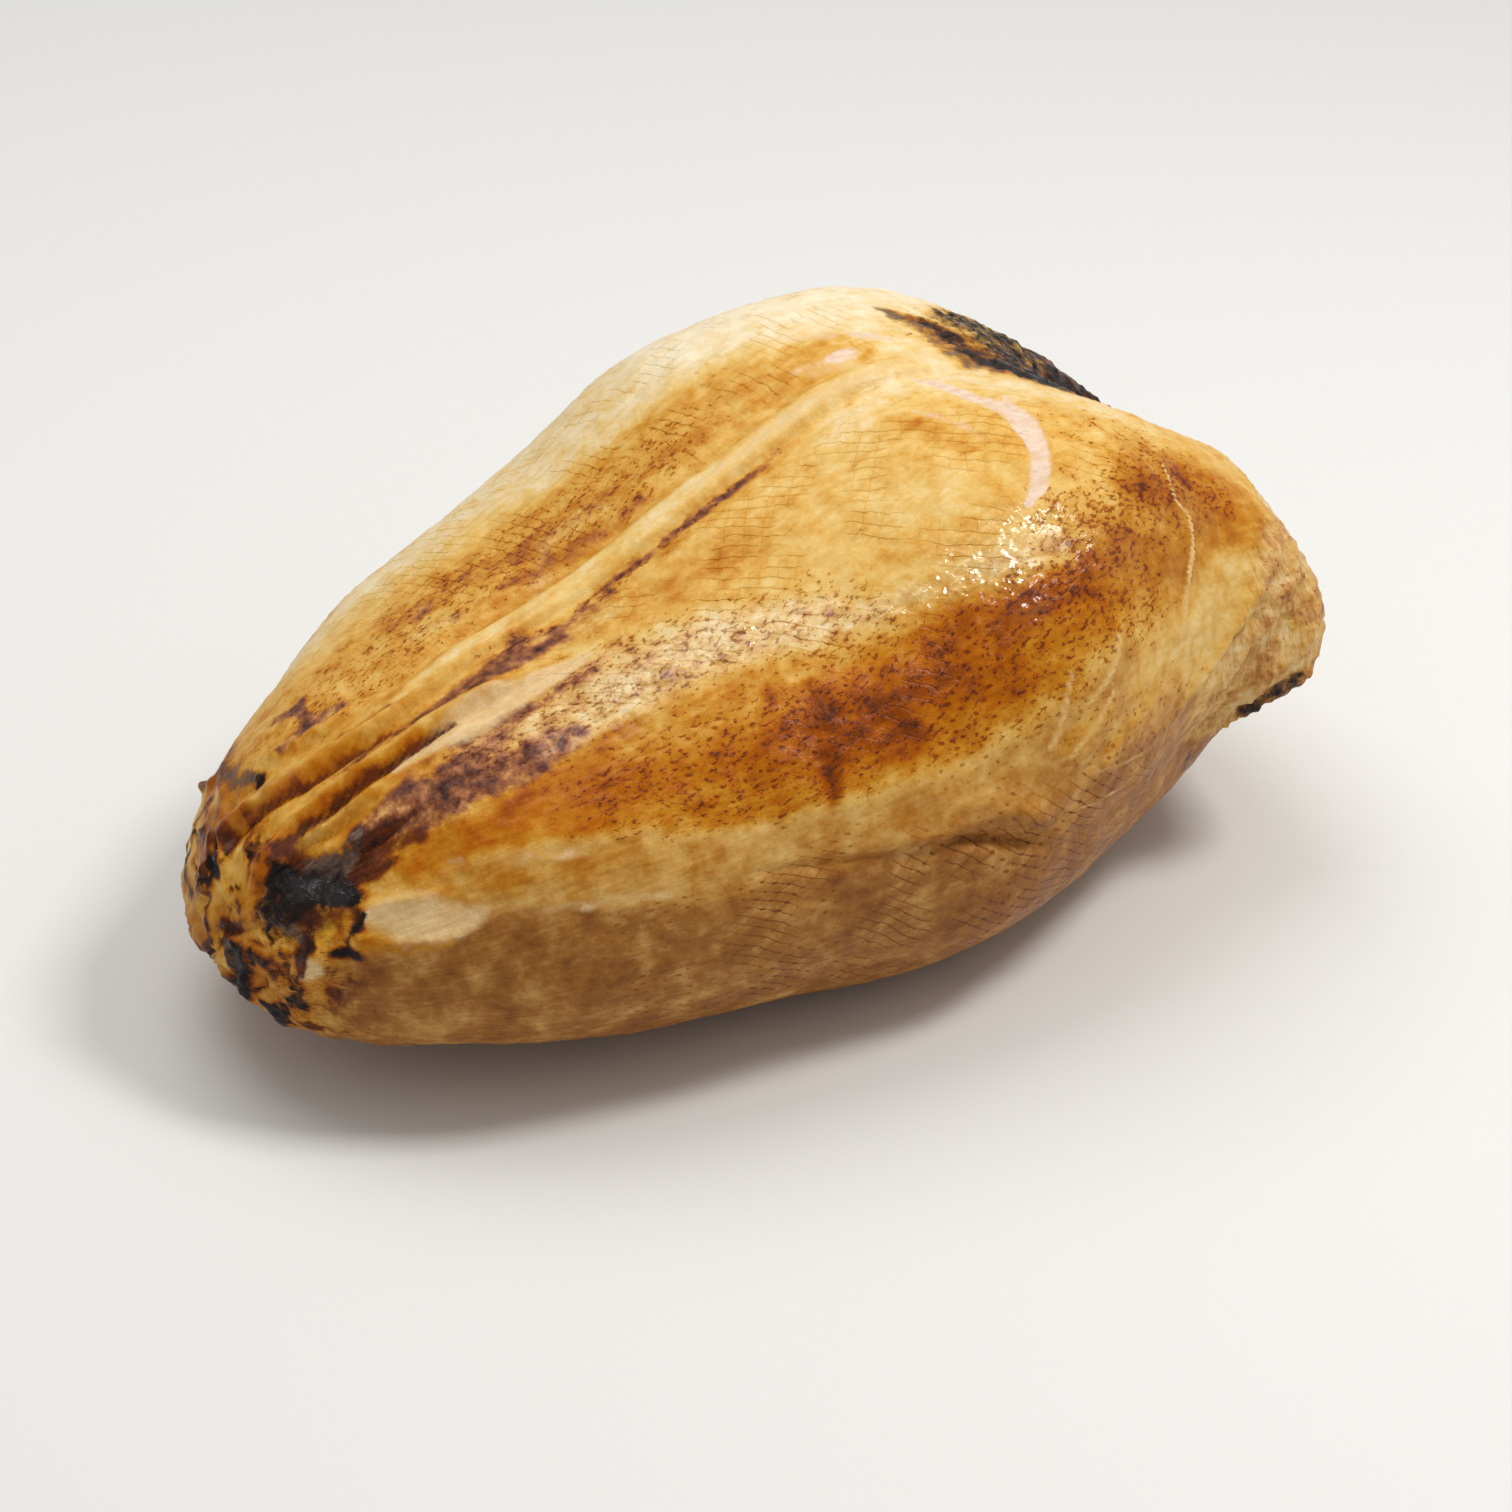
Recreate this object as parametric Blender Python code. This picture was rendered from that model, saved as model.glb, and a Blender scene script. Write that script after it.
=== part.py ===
"""Roast turkey crown: a whole breast on the bone, lying on its back.

The crown is one closed solid. Its skin is a sphere of directions that is wrapped onto
a chain of breast sections, then given its larger folds, hollows and shoulder stumps.
Metres, +Z up. The breastbone runs along X, with the tail end at -X and the neck at +X.
The origin is the middle of the footprint, at the level that the crown rests on.
"""
import bpy
import bmesh
import numpy as np

NAME = "turkey_crown"
MM = 0.001

# Driving dimensions, in millimetres, of the plain crown before its folds and swellings.
LENGTH_MM = 276.0
HALF_WIDTH_MM = 88.0
HEIGHT_MM = 138.0

# Shares of the driving dimensions at each station along the crown, from the tail end (0)
# to the neck end (1). Both sides are alike. Widths are shares of the half width, and the
# rest are shares of the height: the top, the widest level, the underside, and the dip
# between the breasts.
STATIONS = (0.0, 0.2, 0.4, 0.6, 0.8, 1.0)
WIDTH_SHARE = (0.75, 0.85, 0.95, 1.0, 0.95, 1.0)
TOP_SHARE = (0.55, 0.65, 0.75, 0.95, 1.0, 0.95)
WAIST_SHARE = (0.25, 0.35, 0.4, 0.4, 0.4, 0.4)
BASE_SHARE = (0.05, 0.05, 0.0, 0.0, 0.05, 0.15)
VALLEY_SHARE = (0.0, 0.0, 0.0, 0.05, 0.1, 0.15)
# How far a section bulges towards a square, as a fraction.
FULLNESS = 0.05
# A larger power makes a blunter end.
TAIL_BLUNTNESS = 4.0
NECK_BLUNTNESS = 3.0
VALLEY_SPREAD = 0.55        # radians to each side of the breastbone

REST_LEVEL_MM = 6.0         # the underside is pressed flat at this height
REST_BLEND_MM = 3.0         # and rounds into the flat over this much height
CELLS = 26                  # squares along each edge of the starting cube

# Swellings and hollows: station, angle from the breastbone in degrees (positive on the
# right breast), spread along the crown, spread in degrees, height in millimetres.
RIGHT_SHOULDER = (0.90, 80, 0.05, 25, 14)
LEFT_SHOULDER = (0.90, -80, 0.05, 25, 14)
RIGHT_WING_HOLLOW = (0.80, 105, 0.10, 25, -7)
LEFT_WING_HOLLOW = (0.80, -105, 0.10, 25, -7)
NECK_HOLLOW = (0.90, 0, 0.07, 20, -10)
TAIL_SWELLING = (0.0, 40, 0.05, 30, 2)
LEFT_BREAST_FULLNESS = (0.65, -50, 0.20, 40, 3)
LEFT_TAIL_HOLLOW = (0.20, -60, 0.15, 40, -6)
SWELLINGS = (
    RIGHT_SHOULDER, LEFT_SHOULDER, RIGHT_WING_HOLLOW, LEFT_WING_HOLLOW, NECK_HOLLOW,
    TAIL_SWELLING, LEFT_BREAST_FULLNESS, LEFT_TAIL_HOLLOW)

# Folds and grooves: the line that each follows as (station, angle in degrees), its
# height and the half-width of its rounded profile, both in millimetres.
KEEL_LINE = ((0.10, 0), (0.45, 0), (0.80, 0))
KEEL_RIDGE = (KEEL_LINE, 2.0, 6.0)
KEEL_RIGHT_GROOVE = (((0.20, 9), (0.40, 8), (0.60, 7), (0.72, 6)), -1.8, 6.0)
KEEL_LEFT_GROOVE = (((0.20, -9), (0.40, -9), (0.60, -8), (0.72, -7)), -1.5, 6.0)
TAIL_FOLD = (((0.03, 2), (0.05, 4), (0.07, 8), (0.10, 11), (0.16, 12), (0.22, 14), (0.26, 16)), 3.5, 4.5)
TAIL_CREASE = (((0.04, 15), (0.07, 17), (0.11, 18), (0.16, 18), (0.21, 20)), -3.0, 5.0)
FLANK_CREASE = (((0.12, 58), (0.25, 71), (0.34, 79), (0.43, 87), (0.53, 90), (0.60, 97)), -2.0, 7.0)
FOLDS = (KEEL_RIDGE, KEEL_RIGHT_GROOVE, KEEL_LEFT_GROOVE, TAIL_FOLD, TAIL_CREASE, FLANK_CREASE)

# The skin is gathered into pleats round the tail end.
PLEAT_COUNT = 9
PLEAT_HEIGHT_MM = 1.4
PLEAT_PHASE = 0.6
PLEAT_REACH = 0.055         # how far the pleats run from the tail, as a station
PLEAT_START = 0.015         # the very tip is left smooth up to this station
# Broad unevenness of the meat: waves along the crown, waves round it, phase, height.
LUMPS = ((2.3, 3, 0.4, 0.9), (3.7, 2, 1.9, 0.7), (5.1, 5, 3.1, 0.5), (1.4, 4, 5.0, 0.8))


def natural_spline(values, at):
    """Read the natural cubic spline through the station values at the places given."""
    knots = np.array(STATIONS)
    values = np.array(values, float)
    gap = np.diff(knots)
    slope = np.diff(values) / gap
    count = len(knots)
    system = np.eye(count)
    right = np.zeros(count)
    for i in range(1, count - 1):
        system[i, i - 1:i + 2] = gap[i - 1], 2.0 * (gap[i - 1] + gap[i]), gap[i]
        right[i] = 6.0 * (slope[i] - slope[i - 1])
    bend = np.linalg.solve(system, right)
    span = np.clip(np.searchsorted(knots, at) - 1, 0, count - 2)
    width = gap[span]
    low = (knots[span + 1] - at) / width
    high = (at - knots[span]) / width
    cubic = ((low ** 3 - low) * bend[span] + (high ** 3 - high) * bend[span + 1]) * width ** 2 / 6.0
    return low * values[span] + high * values[span + 1] + cubic


def body_points(station, angle):
    """Place points on the plain crown, in millimetres, before its folds are added."""
    along = 2.0 * station - 1.0
    bluntness = np.where(along < 0.0, TAIL_BLUNTNESS, NECK_BLUNTNESS)
    closing = np.sqrt(np.clip(1.0 - np.abs(along) ** bluntness, 0.0, 1.0))
    on_top = np.cos(angle) > 0.0
    swell = 1.0 + FULLNESS * np.sin(2.0 * angle) ** 2
    width = HALF_WIDTH_MM * natural_spline(WIDTH_SHARE, station)
    top = HEIGHT_MM * natural_spline(TOP_SHARE, station)
    waist = HEIGHT_MM * natural_spline(WAIST_SHARE, station)
    base = HEIGHT_MM * natural_spline(BASE_SHARE, station)
    dip = HEIGHT_MM * natural_spline(VALLEY_SHARE, station)
    rise = np.where(on_top, top - waist, waist - base)
    valley = dip * np.exp(-(angle / VALLEY_SPREAD) ** 2)
    x = (station - 0.5) * LENGTH_MM
    y = -width * closing * np.sin(angle) * swell
    z = waist + closing * (rise * np.cos(angle) * swell - valley)
    return np.stack([x, y, z], axis=-1)


def swelling_height(station, angle, swelling):
    """Height of one rounded swelling, or depth of one hollow, in millimetres."""
    at_station, at_degrees, spread, spread_degrees, height = swelling
    turn = (np.degrees(angle) - at_degrees + 180.0) % 360.0 - 180.0
    return height * np.exp(-((station - at_station) / spread) ** 2 - (turn / spread_degrees) ** 2)


def fold_height(points, fold):
    """Height of one fold or groove: a rounded profile beside the nearest part of its line."""
    line, height, half_width = fold
    samples_per_leg = 12
    legs = []
    for (t0, a0), (t1, a1) in zip(line[:-1], line[1:]):
        share = np.linspace(0.0, 1.0, samples_per_leg)
        legs.append(body_points(t0 + (t1 - t0) * share, np.radians(a0 + (a1 - a0) * share)))
    route = np.concatenate(legs)
    gaps = np.linalg.norm(points[:, None, :] - route[None, :, :], axis=2)
    return height * np.exp(-(gaps.min(axis=1) / half_width) ** 2)


def relief_height(points, station, angle):
    """Height of all the folds, hollows, pleats and lumps above the plain crown."""
    height = np.zeros(len(points))
    for swelling in SWELLINGS:
        height += swelling_height(station, angle, swelling)
    for fold in FOLDS:
        height += fold_height(points, fold)
    pleats = np.sin(PLEAT_COUNT * angle + PLEAT_PHASE) * np.exp(-(station / PLEAT_REACH) ** 2)
    height += PLEAT_HEIGHT_MM * pleats * np.clip(station / PLEAT_START, 0.0, 1.0)
    for along, around, phase, size in LUMPS:
        height += size * np.sin(2.0 * np.pi * along * station + phase) * np.cos(around * angle + phase)
    return height


def press_flat(z):
    """Flatten heights below the rest level, rounding into the flat over the blend height."""
    above = z - REST_LEVEL_MM
    rounded = (above + REST_BLEND_MM) ** 2 / (4.0 * REST_BLEND_MM)
    return np.where(above < -REST_BLEND_MM, 0.0, np.where(above > REST_BLEND_MM, above, rounded))


def direction_sphere():
    """A cube divided into a fine grid, with its points pushed out to the unit sphere."""
    ball = bmesh.new()
    bmesh.ops.create_cube(ball, size=2.0)
    bmesh.ops.subdivide_edges(ball, edges=ball.edges[:], cuts=CELLS - 1, use_grid_fill=True)
    quarter = np.pi / 4.0
    for vertex in ball.verts:
        vertex.co = np.tan(np.array(vertex.co) * quarter)
        vertex.co.normalize()
    return ball


def unit_normals(mesh):
    """The mesh's vertex normals as an array."""
    normals = np.empty(3 * len(mesh.vertices))
    mesh.vertex_normals.foreach_get("vector", normals)
    return normals.reshape(-1, 3)


def make_crown():
    """Build the crown's mesh: directions, plain body, relief, flat underside, origin."""
    mesh = bpy.data.meshes.new(NAME)
    ball = direction_sphere()
    bmesh.ops.triangulate(ball, faces=ball.faces[:])
    ball.to_mesh(mesh)
    ball.free()
    directions = unit_normals_from_points(mesh)
    station = 0.5 * (directions[:, 0] + 1.0)
    angle = np.arctan2(-directions[:, 1], directions[:, 2])
    points = body_points(station, angle)
    set_points(mesh, points)
    points += unit_normals(mesh) * relief_height(points, station, angle)[:, None]
    points[:, 2] = press_flat(points[:, 2])
    low = points.min(axis=0)
    high = points.max(axis=0)
    points[:, :2] -= 0.5 * (low + high)[:2]
    set_points(mesh, points * MM)
    mesh.shade_smooth()
    return mesh


def unit_normals_from_points(mesh):
    """Each point of the direction sphere as a unit vector."""
    places = np.empty(3 * len(mesh.vertices))
    mesh.vertices.foreach_get("co", places)
    places = places.reshape(-1, 3)
    return places / np.linalg.norm(places, axis=1)[:, None]


def set_points(mesh, points):
    """Move the mesh's points to the places given."""
    mesh.vertices.foreach_set("co", points.ravel())
    mesh.update()


def roast_skin():
    """Golden brown, slightly glossy roast skin."""
    skin = bpy.data.materials.new("roast_skin")
    skin.use_nodes = True
    shader = skin.node_tree.nodes["Principled BSDF"]
    shader.inputs["Base Color"].default_value = (0.46, 0.24, 0.075, 1.0)
    shader.inputs["Roughness"].default_value = 0.4
    shader.inputs["Metallic"].default_value = 0.0
    return skin


def clear_scene():
    """Remove every object of the open scene."""
    for thing in list(bpy.data.objects):
        bpy.data.objects.remove(thing, do_unlink=True)


def main():
    clear_scene()
    group = bpy.data.collections.new("roast_turkey_crown")
    bpy.context.scene.collection.children.link(group)
    crown = bpy.data.objects.new(NAME, make_crown())
    crown.data.materials.append(roast_skin())
    group.objects.link(crown)


main()
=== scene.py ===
"""Looks of the roast turkey crown: skin, folds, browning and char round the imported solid."""
import math

import bmesh
import bpy
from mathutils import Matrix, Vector
import numpy as np


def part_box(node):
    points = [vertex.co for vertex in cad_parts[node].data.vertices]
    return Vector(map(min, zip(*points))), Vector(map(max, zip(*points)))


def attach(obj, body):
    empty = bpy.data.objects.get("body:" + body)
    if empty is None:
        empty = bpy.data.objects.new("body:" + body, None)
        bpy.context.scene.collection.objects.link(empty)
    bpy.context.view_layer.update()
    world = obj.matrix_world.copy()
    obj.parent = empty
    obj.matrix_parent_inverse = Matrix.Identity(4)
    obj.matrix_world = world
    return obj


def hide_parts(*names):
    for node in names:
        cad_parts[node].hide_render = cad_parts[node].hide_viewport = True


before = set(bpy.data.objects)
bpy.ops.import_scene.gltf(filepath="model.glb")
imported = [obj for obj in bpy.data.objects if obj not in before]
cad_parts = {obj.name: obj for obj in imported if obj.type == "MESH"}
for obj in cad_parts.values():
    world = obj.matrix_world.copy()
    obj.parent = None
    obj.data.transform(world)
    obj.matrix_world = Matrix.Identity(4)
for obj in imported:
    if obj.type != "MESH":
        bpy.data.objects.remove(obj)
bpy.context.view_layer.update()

NODE = "turkey_crown"
MM = 0.001

# ---------------------------------------------------------------- the crown's plain form
# The same driving dimensions, shares, swellings and lumps as the solid has, in millimetres.
LENGTH_MM = 276.0
HALF_WIDTH_MM = 88.0
HEIGHT_MM = 138.0
STATIONS = (0.0, 0.2, 0.4, 0.6, 0.8, 1.0)
WIDTH_SHARE = (0.75, 0.85, 0.95, 1.0, 0.95, 1.0)
TOP_SHARE = (0.55, 0.65, 0.75, 0.95, 1.0, 0.95)
WAIST_SHARE = (0.25, 0.35, 0.4, 0.4, 0.4, 0.4)
BASE_SHARE = (0.05, 0.05, 0.0, 0.0, 0.05, 0.15)
VALLEY_SHARE = (0.0, 0.0, 0.0, 0.05, 0.1, 0.15)
FULLNESS = 0.05
TAIL_BLUNTNESS = 4.0
NECK_BLUNTNESS = 3.0
VALLEY_SPREAD = 0.55
REST_LEVEL_MM = 6.0
REST_BLEND_MM = 3.0
CELLS = 127                 # squares along each edge of the starting cube
CROWDING = 0.30             # pulls the squares from the underside towards the top
MM_PER_DEGREE = 1.5         # how far one degree round the crown counts for patterns

RIGHT_SHOULDER = (0.90, 80, 0.05, 25, 14)
LEFT_SHOULDER = (0.90, -80, 0.05, 25, 14)
RIGHT_WING_HOLLOW = (0.80, 105, 0.10, 25, -7)
LEFT_WING_HOLLOW = (0.80, -105, 0.10, 25, -7)
NECK_HOLLOW = (0.90, 0, 0.07, 20, -10)
TAIL_SWELLING = (0.0, 40, 0.05, 30, 2)
LEFT_BREAST_FULLNESS = (0.65, -50, 0.20, 40, 3)
LEFT_TAIL_HOLLOW = (0.20, -60, 0.15, 40, -6)
SWELLINGS = (
    RIGHT_SHOULDER, LEFT_SHOULDER, RIGHT_WING_HOLLOW, LEFT_WING_HOLLOW, NECK_HOLLOW,
    TAIL_SWELLING, LEFT_BREAST_FULLNESS, LEFT_TAIL_HOLLOW)
LUMPS = ((2.3, 3, 0.4, 0.9), (3.7, 2, 1.9, 0.7), (5.1, 5, 3.1, 0.5), (1.4, 4, 5.0, 0.8))


def natural_spline(values, at):
    """Read the natural cubic spline through the station values at the places given."""
    knots = np.array(STATIONS)
    values = np.array(values, float)
    gap = np.diff(knots)
    slope = np.diff(values) / gap
    count = len(knots)
    system = np.eye(count)
    right = np.zeros(count)
    for i in range(1, count - 1):
        system[i, i - 1:i + 2] = gap[i - 1], 2.0 * (gap[i - 1] + gap[i]), gap[i]
        right[i] = 6.0 * (slope[i] - slope[i - 1])
    bend = np.linalg.solve(system, right)
    span = np.clip(np.searchsorted(knots, at) - 1, 0, count - 2)
    width = gap[span]
    low = (knots[span + 1] - at) / width
    high = (at - knots[span]) / width
    cubic = ((low ** 3 - low) * bend[span] + (high ** 3 - high) * bend[span + 1]) * width ** 2 / 6.0
    return low * values[span] + high * values[span + 1] + cubic


def body_points(station, angle):
    """Place points on the plain crown, in millimetres, before its folds are added."""
    along = 2.0 * station - 1.0
    bluntness = np.where(along < 0.0, TAIL_BLUNTNESS, NECK_BLUNTNESS)
    closing = np.sqrt(np.clip(1.0 - np.abs(along) ** bluntness, 0.0, 1.0))
    on_top = np.cos(angle) > 0.0
    swell = 1.0 + FULLNESS * np.sin(2.0 * angle) ** 2
    width = HALF_WIDTH_MM * natural_spline(WIDTH_SHARE, station)
    top = HEIGHT_MM * natural_spline(TOP_SHARE, station)
    waist = HEIGHT_MM * natural_spline(WAIST_SHARE, station)
    base = HEIGHT_MM * natural_spline(BASE_SHARE, station)
    dip = HEIGHT_MM * natural_spline(VALLEY_SHARE, station)
    rise = np.where(on_top, top - waist, waist - base)
    valley = dip * np.exp(-(angle / VALLEY_SPREAD) ** 2)
    x = (station - 0.5) * LENGTH_MM
    y = -width * closing * np.sin(angle) * swell
    z = waist + closing * (rise * np.cos(angle) * swell - valley)
    return np.stack([x, y, z], axis=-1)


def press_flat(z):
    """Flatten heights below the rest level, rounding into the flat over the blend height."""
    above = z - REST_LEVEL_MM
    rounded = (above + REST_BLEND_MM) ** 2 / (4.0 * REST_BLEND_MM)
    return np.where(above < -REST_BLEND_MM, 0.0, np.where(above > REST_BLEND_MM, above, rounded))


# ---------------------------------------------------------------- noise and patterns
def smooth(low, high, value):
    """0 below low, 1 above high, with a soft step between; low may be above high."""
    share = np.clip((value - low) / (high - low), 0.0, 1.0)
    return share * share * (3.0 - 2.0 * share)


def noise(points, size_mm, seed):
    """Gradient noise from about -1 to 1 that varies over the size given."""
    rng = np.random.default_rng(seed)
    table = rng.permutation(256)
    gradients = rng.normal(size=(256, 3))
    gradients /= np.linalg.norm(gradients, axis=1)[:, None]
    place = points / size_mm
    cell = np.floor(place).astype(int)
    part = place - cell
    ease = part ** 3 * (part * (part * 6.0 - 15.0) + 10.0)
    total = np.zeros(len(points))
    for corner in range(8):
        offset = np.array([corner & 1, corner >> 1 & 1, corner >> 2 & 1])
        key = (cell + offset) & 255
        pick = table[(table[(table[key[:, 0]] + key[:, 1]) & 255] + key[:, 2]) & 255]
        value = ((part - offset) * gradients[pick]).sum(axis=1)
        weight = np.where(offset, ease, 1.0 - ease).prod(axis=1)
        total += value * weight
    return 1.6 * total


def rough_noise(points, size_mm, seed, octaves=3, keep=0.5):
    """Noise summed over octaves, each half the size of the one before."""
    total = np.zeros(len(points))
    for octave in range(octaves):
        total += keep ** octave * noise(points, size_mm / 2 ** octave, seed + octave)
    return total


def dot_lattice(along, around, spacing, jitter, seed):
    """Millimetres to the nearest point of a jittered diamond lattice, and that point's number."""
    a = (along + around) / (spacing * math.sqrt(2.0))
    b = (along - around) / (spacing * math.sqrt(2.0))
    rng = np.random.default_rng(seed)
    shift = rng.uniform(-jitter, jitter, size=(64, 64, 2))
    number = rng.uniform(size=(64, 64))
    nearest = np.full(len(along), 9.0)
    own = np.zeros(len(along))
    base_a = np.floor(a).astype(int)
    base_b = np.floor(b).astype(int)
    for da in (-1, 0, 1):
        for db in (-1, 0, 1):
            ia = base_a + da
            ib = base_b + db
            move = shift[ia & 63, ib & 63]
            gap = np.hypot(a - ia - 0.5 - move[:, 0], b - ib - 0.5 - move[:, 1])
            closer = gap < nearest
            nearest = np.where(closer, gap, nearest)
            own = np.where(closer, number[ia & 63, ib & 63], own)
    return nearest * spacing, own


# ---------------------------------------------------------------- the skin's fine grid
class Skin:
    """The crown's points: their directions, plain places and distances over the skin."""

    def __init__(self):
        ball = bmesh.new()
        bmesh.ops.create_cube(ball, size=2.0)
        bmesh.ops.subdivide_edges(ball, edges=ball.edges[:], cuts=CELLS - 1, use_grid_fill=True)
        self.mesh = bpy.data.meshes.new("crown_skin")
        ball.to_mesh(self.mesh)
        ball.free()
        places = np.tan(read_points(self.mesh) * (math.pi / 4.0))
        places /= np.linalg.norm(places, axis=1)[:, None]
        places[:, 2] += CROWDING
        places /= np.linalg.norm(places, axis=1)[:, None]
        self.station = 0.5 * (places[:, 0] + 1.0)
        self.angle = np.arctan2(-places[:, 1], places[:, 2])
        self.degrees = np.degrees(self.angle)
        self.plain = body_points(self.station, self.angle)
        write_points(self.mesh, self.plain)
        self.normal = point_normals(self.mesh)
        self.along = length_along(self.station, self.angle)
        self.around = MM_PER_DEGREE * self.degrees
        warps = [rough_noise(self.plain, 22.0, seed, 4, 0.55) for seed in (11, 21, 31)]
        self.warp = np.stack(warps, axis=1)


def read_points(mesh):
    """The mesh's points as an array."""
    places = np.empty(3 * len(mesh.vertices))
    mesh.vertices.foreach_get("co", places)
    return places.reshape(-1, 3)


def write_points(mesh, points):
    """Move the mesh's points to the places given."""
    mesh.vertices.foreach_set("co", points.ravel())
    mesh.update()


def point_normals(mesh):
    """The mesh's point normals as an array."""
    normals = np.empty(3 * len(mesh.vertices))
    mesh.vertex_normals.foreach_get("vector", normals)
    return normals.reshape(-1, 3)


def length_along(station, angle):
    """Distance over the skin in millimetres, along the crown from its middle."""
    lines = 120
    rounds = 72
    t = 0.5 * (1.0 - np.cos(np.linspace(0.0, math.pi, lines)))
    a = np.linspace(-math.pi, math.pi, rounds + 1)
    grid = body_points(*np.meshgrid(t, a, indexing="ij"))
    run = np.cumsum(np.linalg.norm(np.diff(grid, axis=0), axis=2), axis=0)
    run = np.vstack([np.zeros((1, rounds + 1)), run])
    run -= run[lines // 2]
    row = np.interp(station, t, np.arange(lines))
    column = (angle + math.pi) / (2.0 * math.pi) * rounds
    i = np.clip(row.astype(int), 0, lines - 2)
    j = np.clip(column.astype(int), 0, rounds - 1)
    u = row - i
    v = column - j
    low = run[i, j] * (1.0 - v) + run[i, j + 1] * v
    high = run[i + 1, j] * (1.0 - v) + run[i + 1, j + 1] * v
    return low * (1.0 - u) + high * u


# ---------------------------------------------------------------- marks on the skin
# A stroke is a line of (station, angle in degrees, half-width in mm); a band is a list of
# (station, from angle, to angle). Both get ragged edges from the skin's own warp.
def route(line, step_mm=1.5):
    """Points every step along the line over the plain crown, with the widths between."""
    line = [tuple(point) for point in line]
    if len(line) == 1:
        line = line * 2
    legs = []
    for start, end in zip(line[:-1], line[1:]):
        share = np.linspace(0.0, 1.0, 12)[:, None]
        legs.append(np.array(start, float) * (1.0 - share) + np.array(end, float) * share)
    steps = np.concatenate(legs)
    places = body_points(steps[:, 0], np.radians(steps[:, 1]))
    run = np.concatenate([[0.0], np.cumsum(np.linalg.norm(np.diff(places, axis=0), axis=1))])
    count = max(2, int(run[-1] / step_mm) + 1)
    at = np.linspace(0.0, run[-1], count)
    even = np.stack([np.interp(at, run, places[:, i]) for i in range(3)], axis=1)
    widths = np.interp(at, run, steps[:, 2]) if steps.shape[1] > 2 else np.ones(count)
    return even, widths


def nearest_on(places, points, widths, reach):
    """Each place's distance from the route, with the route's width and step there."""
    low = points.min(axis=0) - reach
    high = points.max(axis=0) + reach
    near = np.flatnonzero(((places > low) & (places < high)).all(axis=1))
    distance = np.full(len(places), 1e6)
    width = np.ones(len(places))
    step = np.zeros(len(places), int)
    for begin in range(0, len(near), 20000):
        part = near[begin:begin + 20000]
        gaps = np.linalg.norm(places[part][:, None, :] - points[None, :, :], axis=2)
        best = (gaps / widths[None, :]).argmin(axis=1)
        distance[part] = gaps[np.arange(len(part)), best]
        width[part] = widths[best]
        step[part] = best
    return distance, width, step


def stroke(skin, line, softness=0.5, ragged=1.0):
    """How much each point lies in the stroke, from 0 to 1."""
    narrow = min(point[2] for point in line)
    points, widths = route(line, min(1.5, max(0.3, 0.5 * narrow)))
    places = skin.plain + ragged * skin.warp
    reach = widths.max() * (1.0 + softness)
    distance, width, _ = nearest_on(places, points, widths, reach)
    return smooth(1.0 + softness, 1.0 - softness, distance / width)


def band(skin, edges, softness=4.0, ragged=1.5):
    """How much each point lies between the band's two edges, from 0 to 1."""
    stations, first, last = np.array(edges, float).T
    station = skin.station + ragged * 0.004 * skin.warp[:, 0]
    degrees = skin.degrees + ragged * skin.warp[:, 1]
    low = np.interp(station, stations, first)
    high = np.interp(station, stations, last)
    inside = smooth(-0.5 * softness, 0.5 * softness, degrees - low)
    inside *= smooth(-0.5 * softness, 0.5 * softness, high - degrees)
    ends = softness * 0.003
    inside *= smooth(stations[0] - ends, stations[0] + ends, station)
    return inside * smooth(stations[-1] + ends, stations[-1] - ends, station)


def gather(skin, marks):
    """Combine marks (function, shape, softness, strength, raggedness) into one mask from 0 to 1."""
    bare = np.ones(len(skin.station))
    for cover, shape, softness, strength, ragged in marks:
        bare *= 1.0 - strength * cover(skin, shape, softness, ragged)
    return 1.0 - bare


PLAIN_BROWNING = 0.31       # depth of browning where nothing is painted
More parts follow.
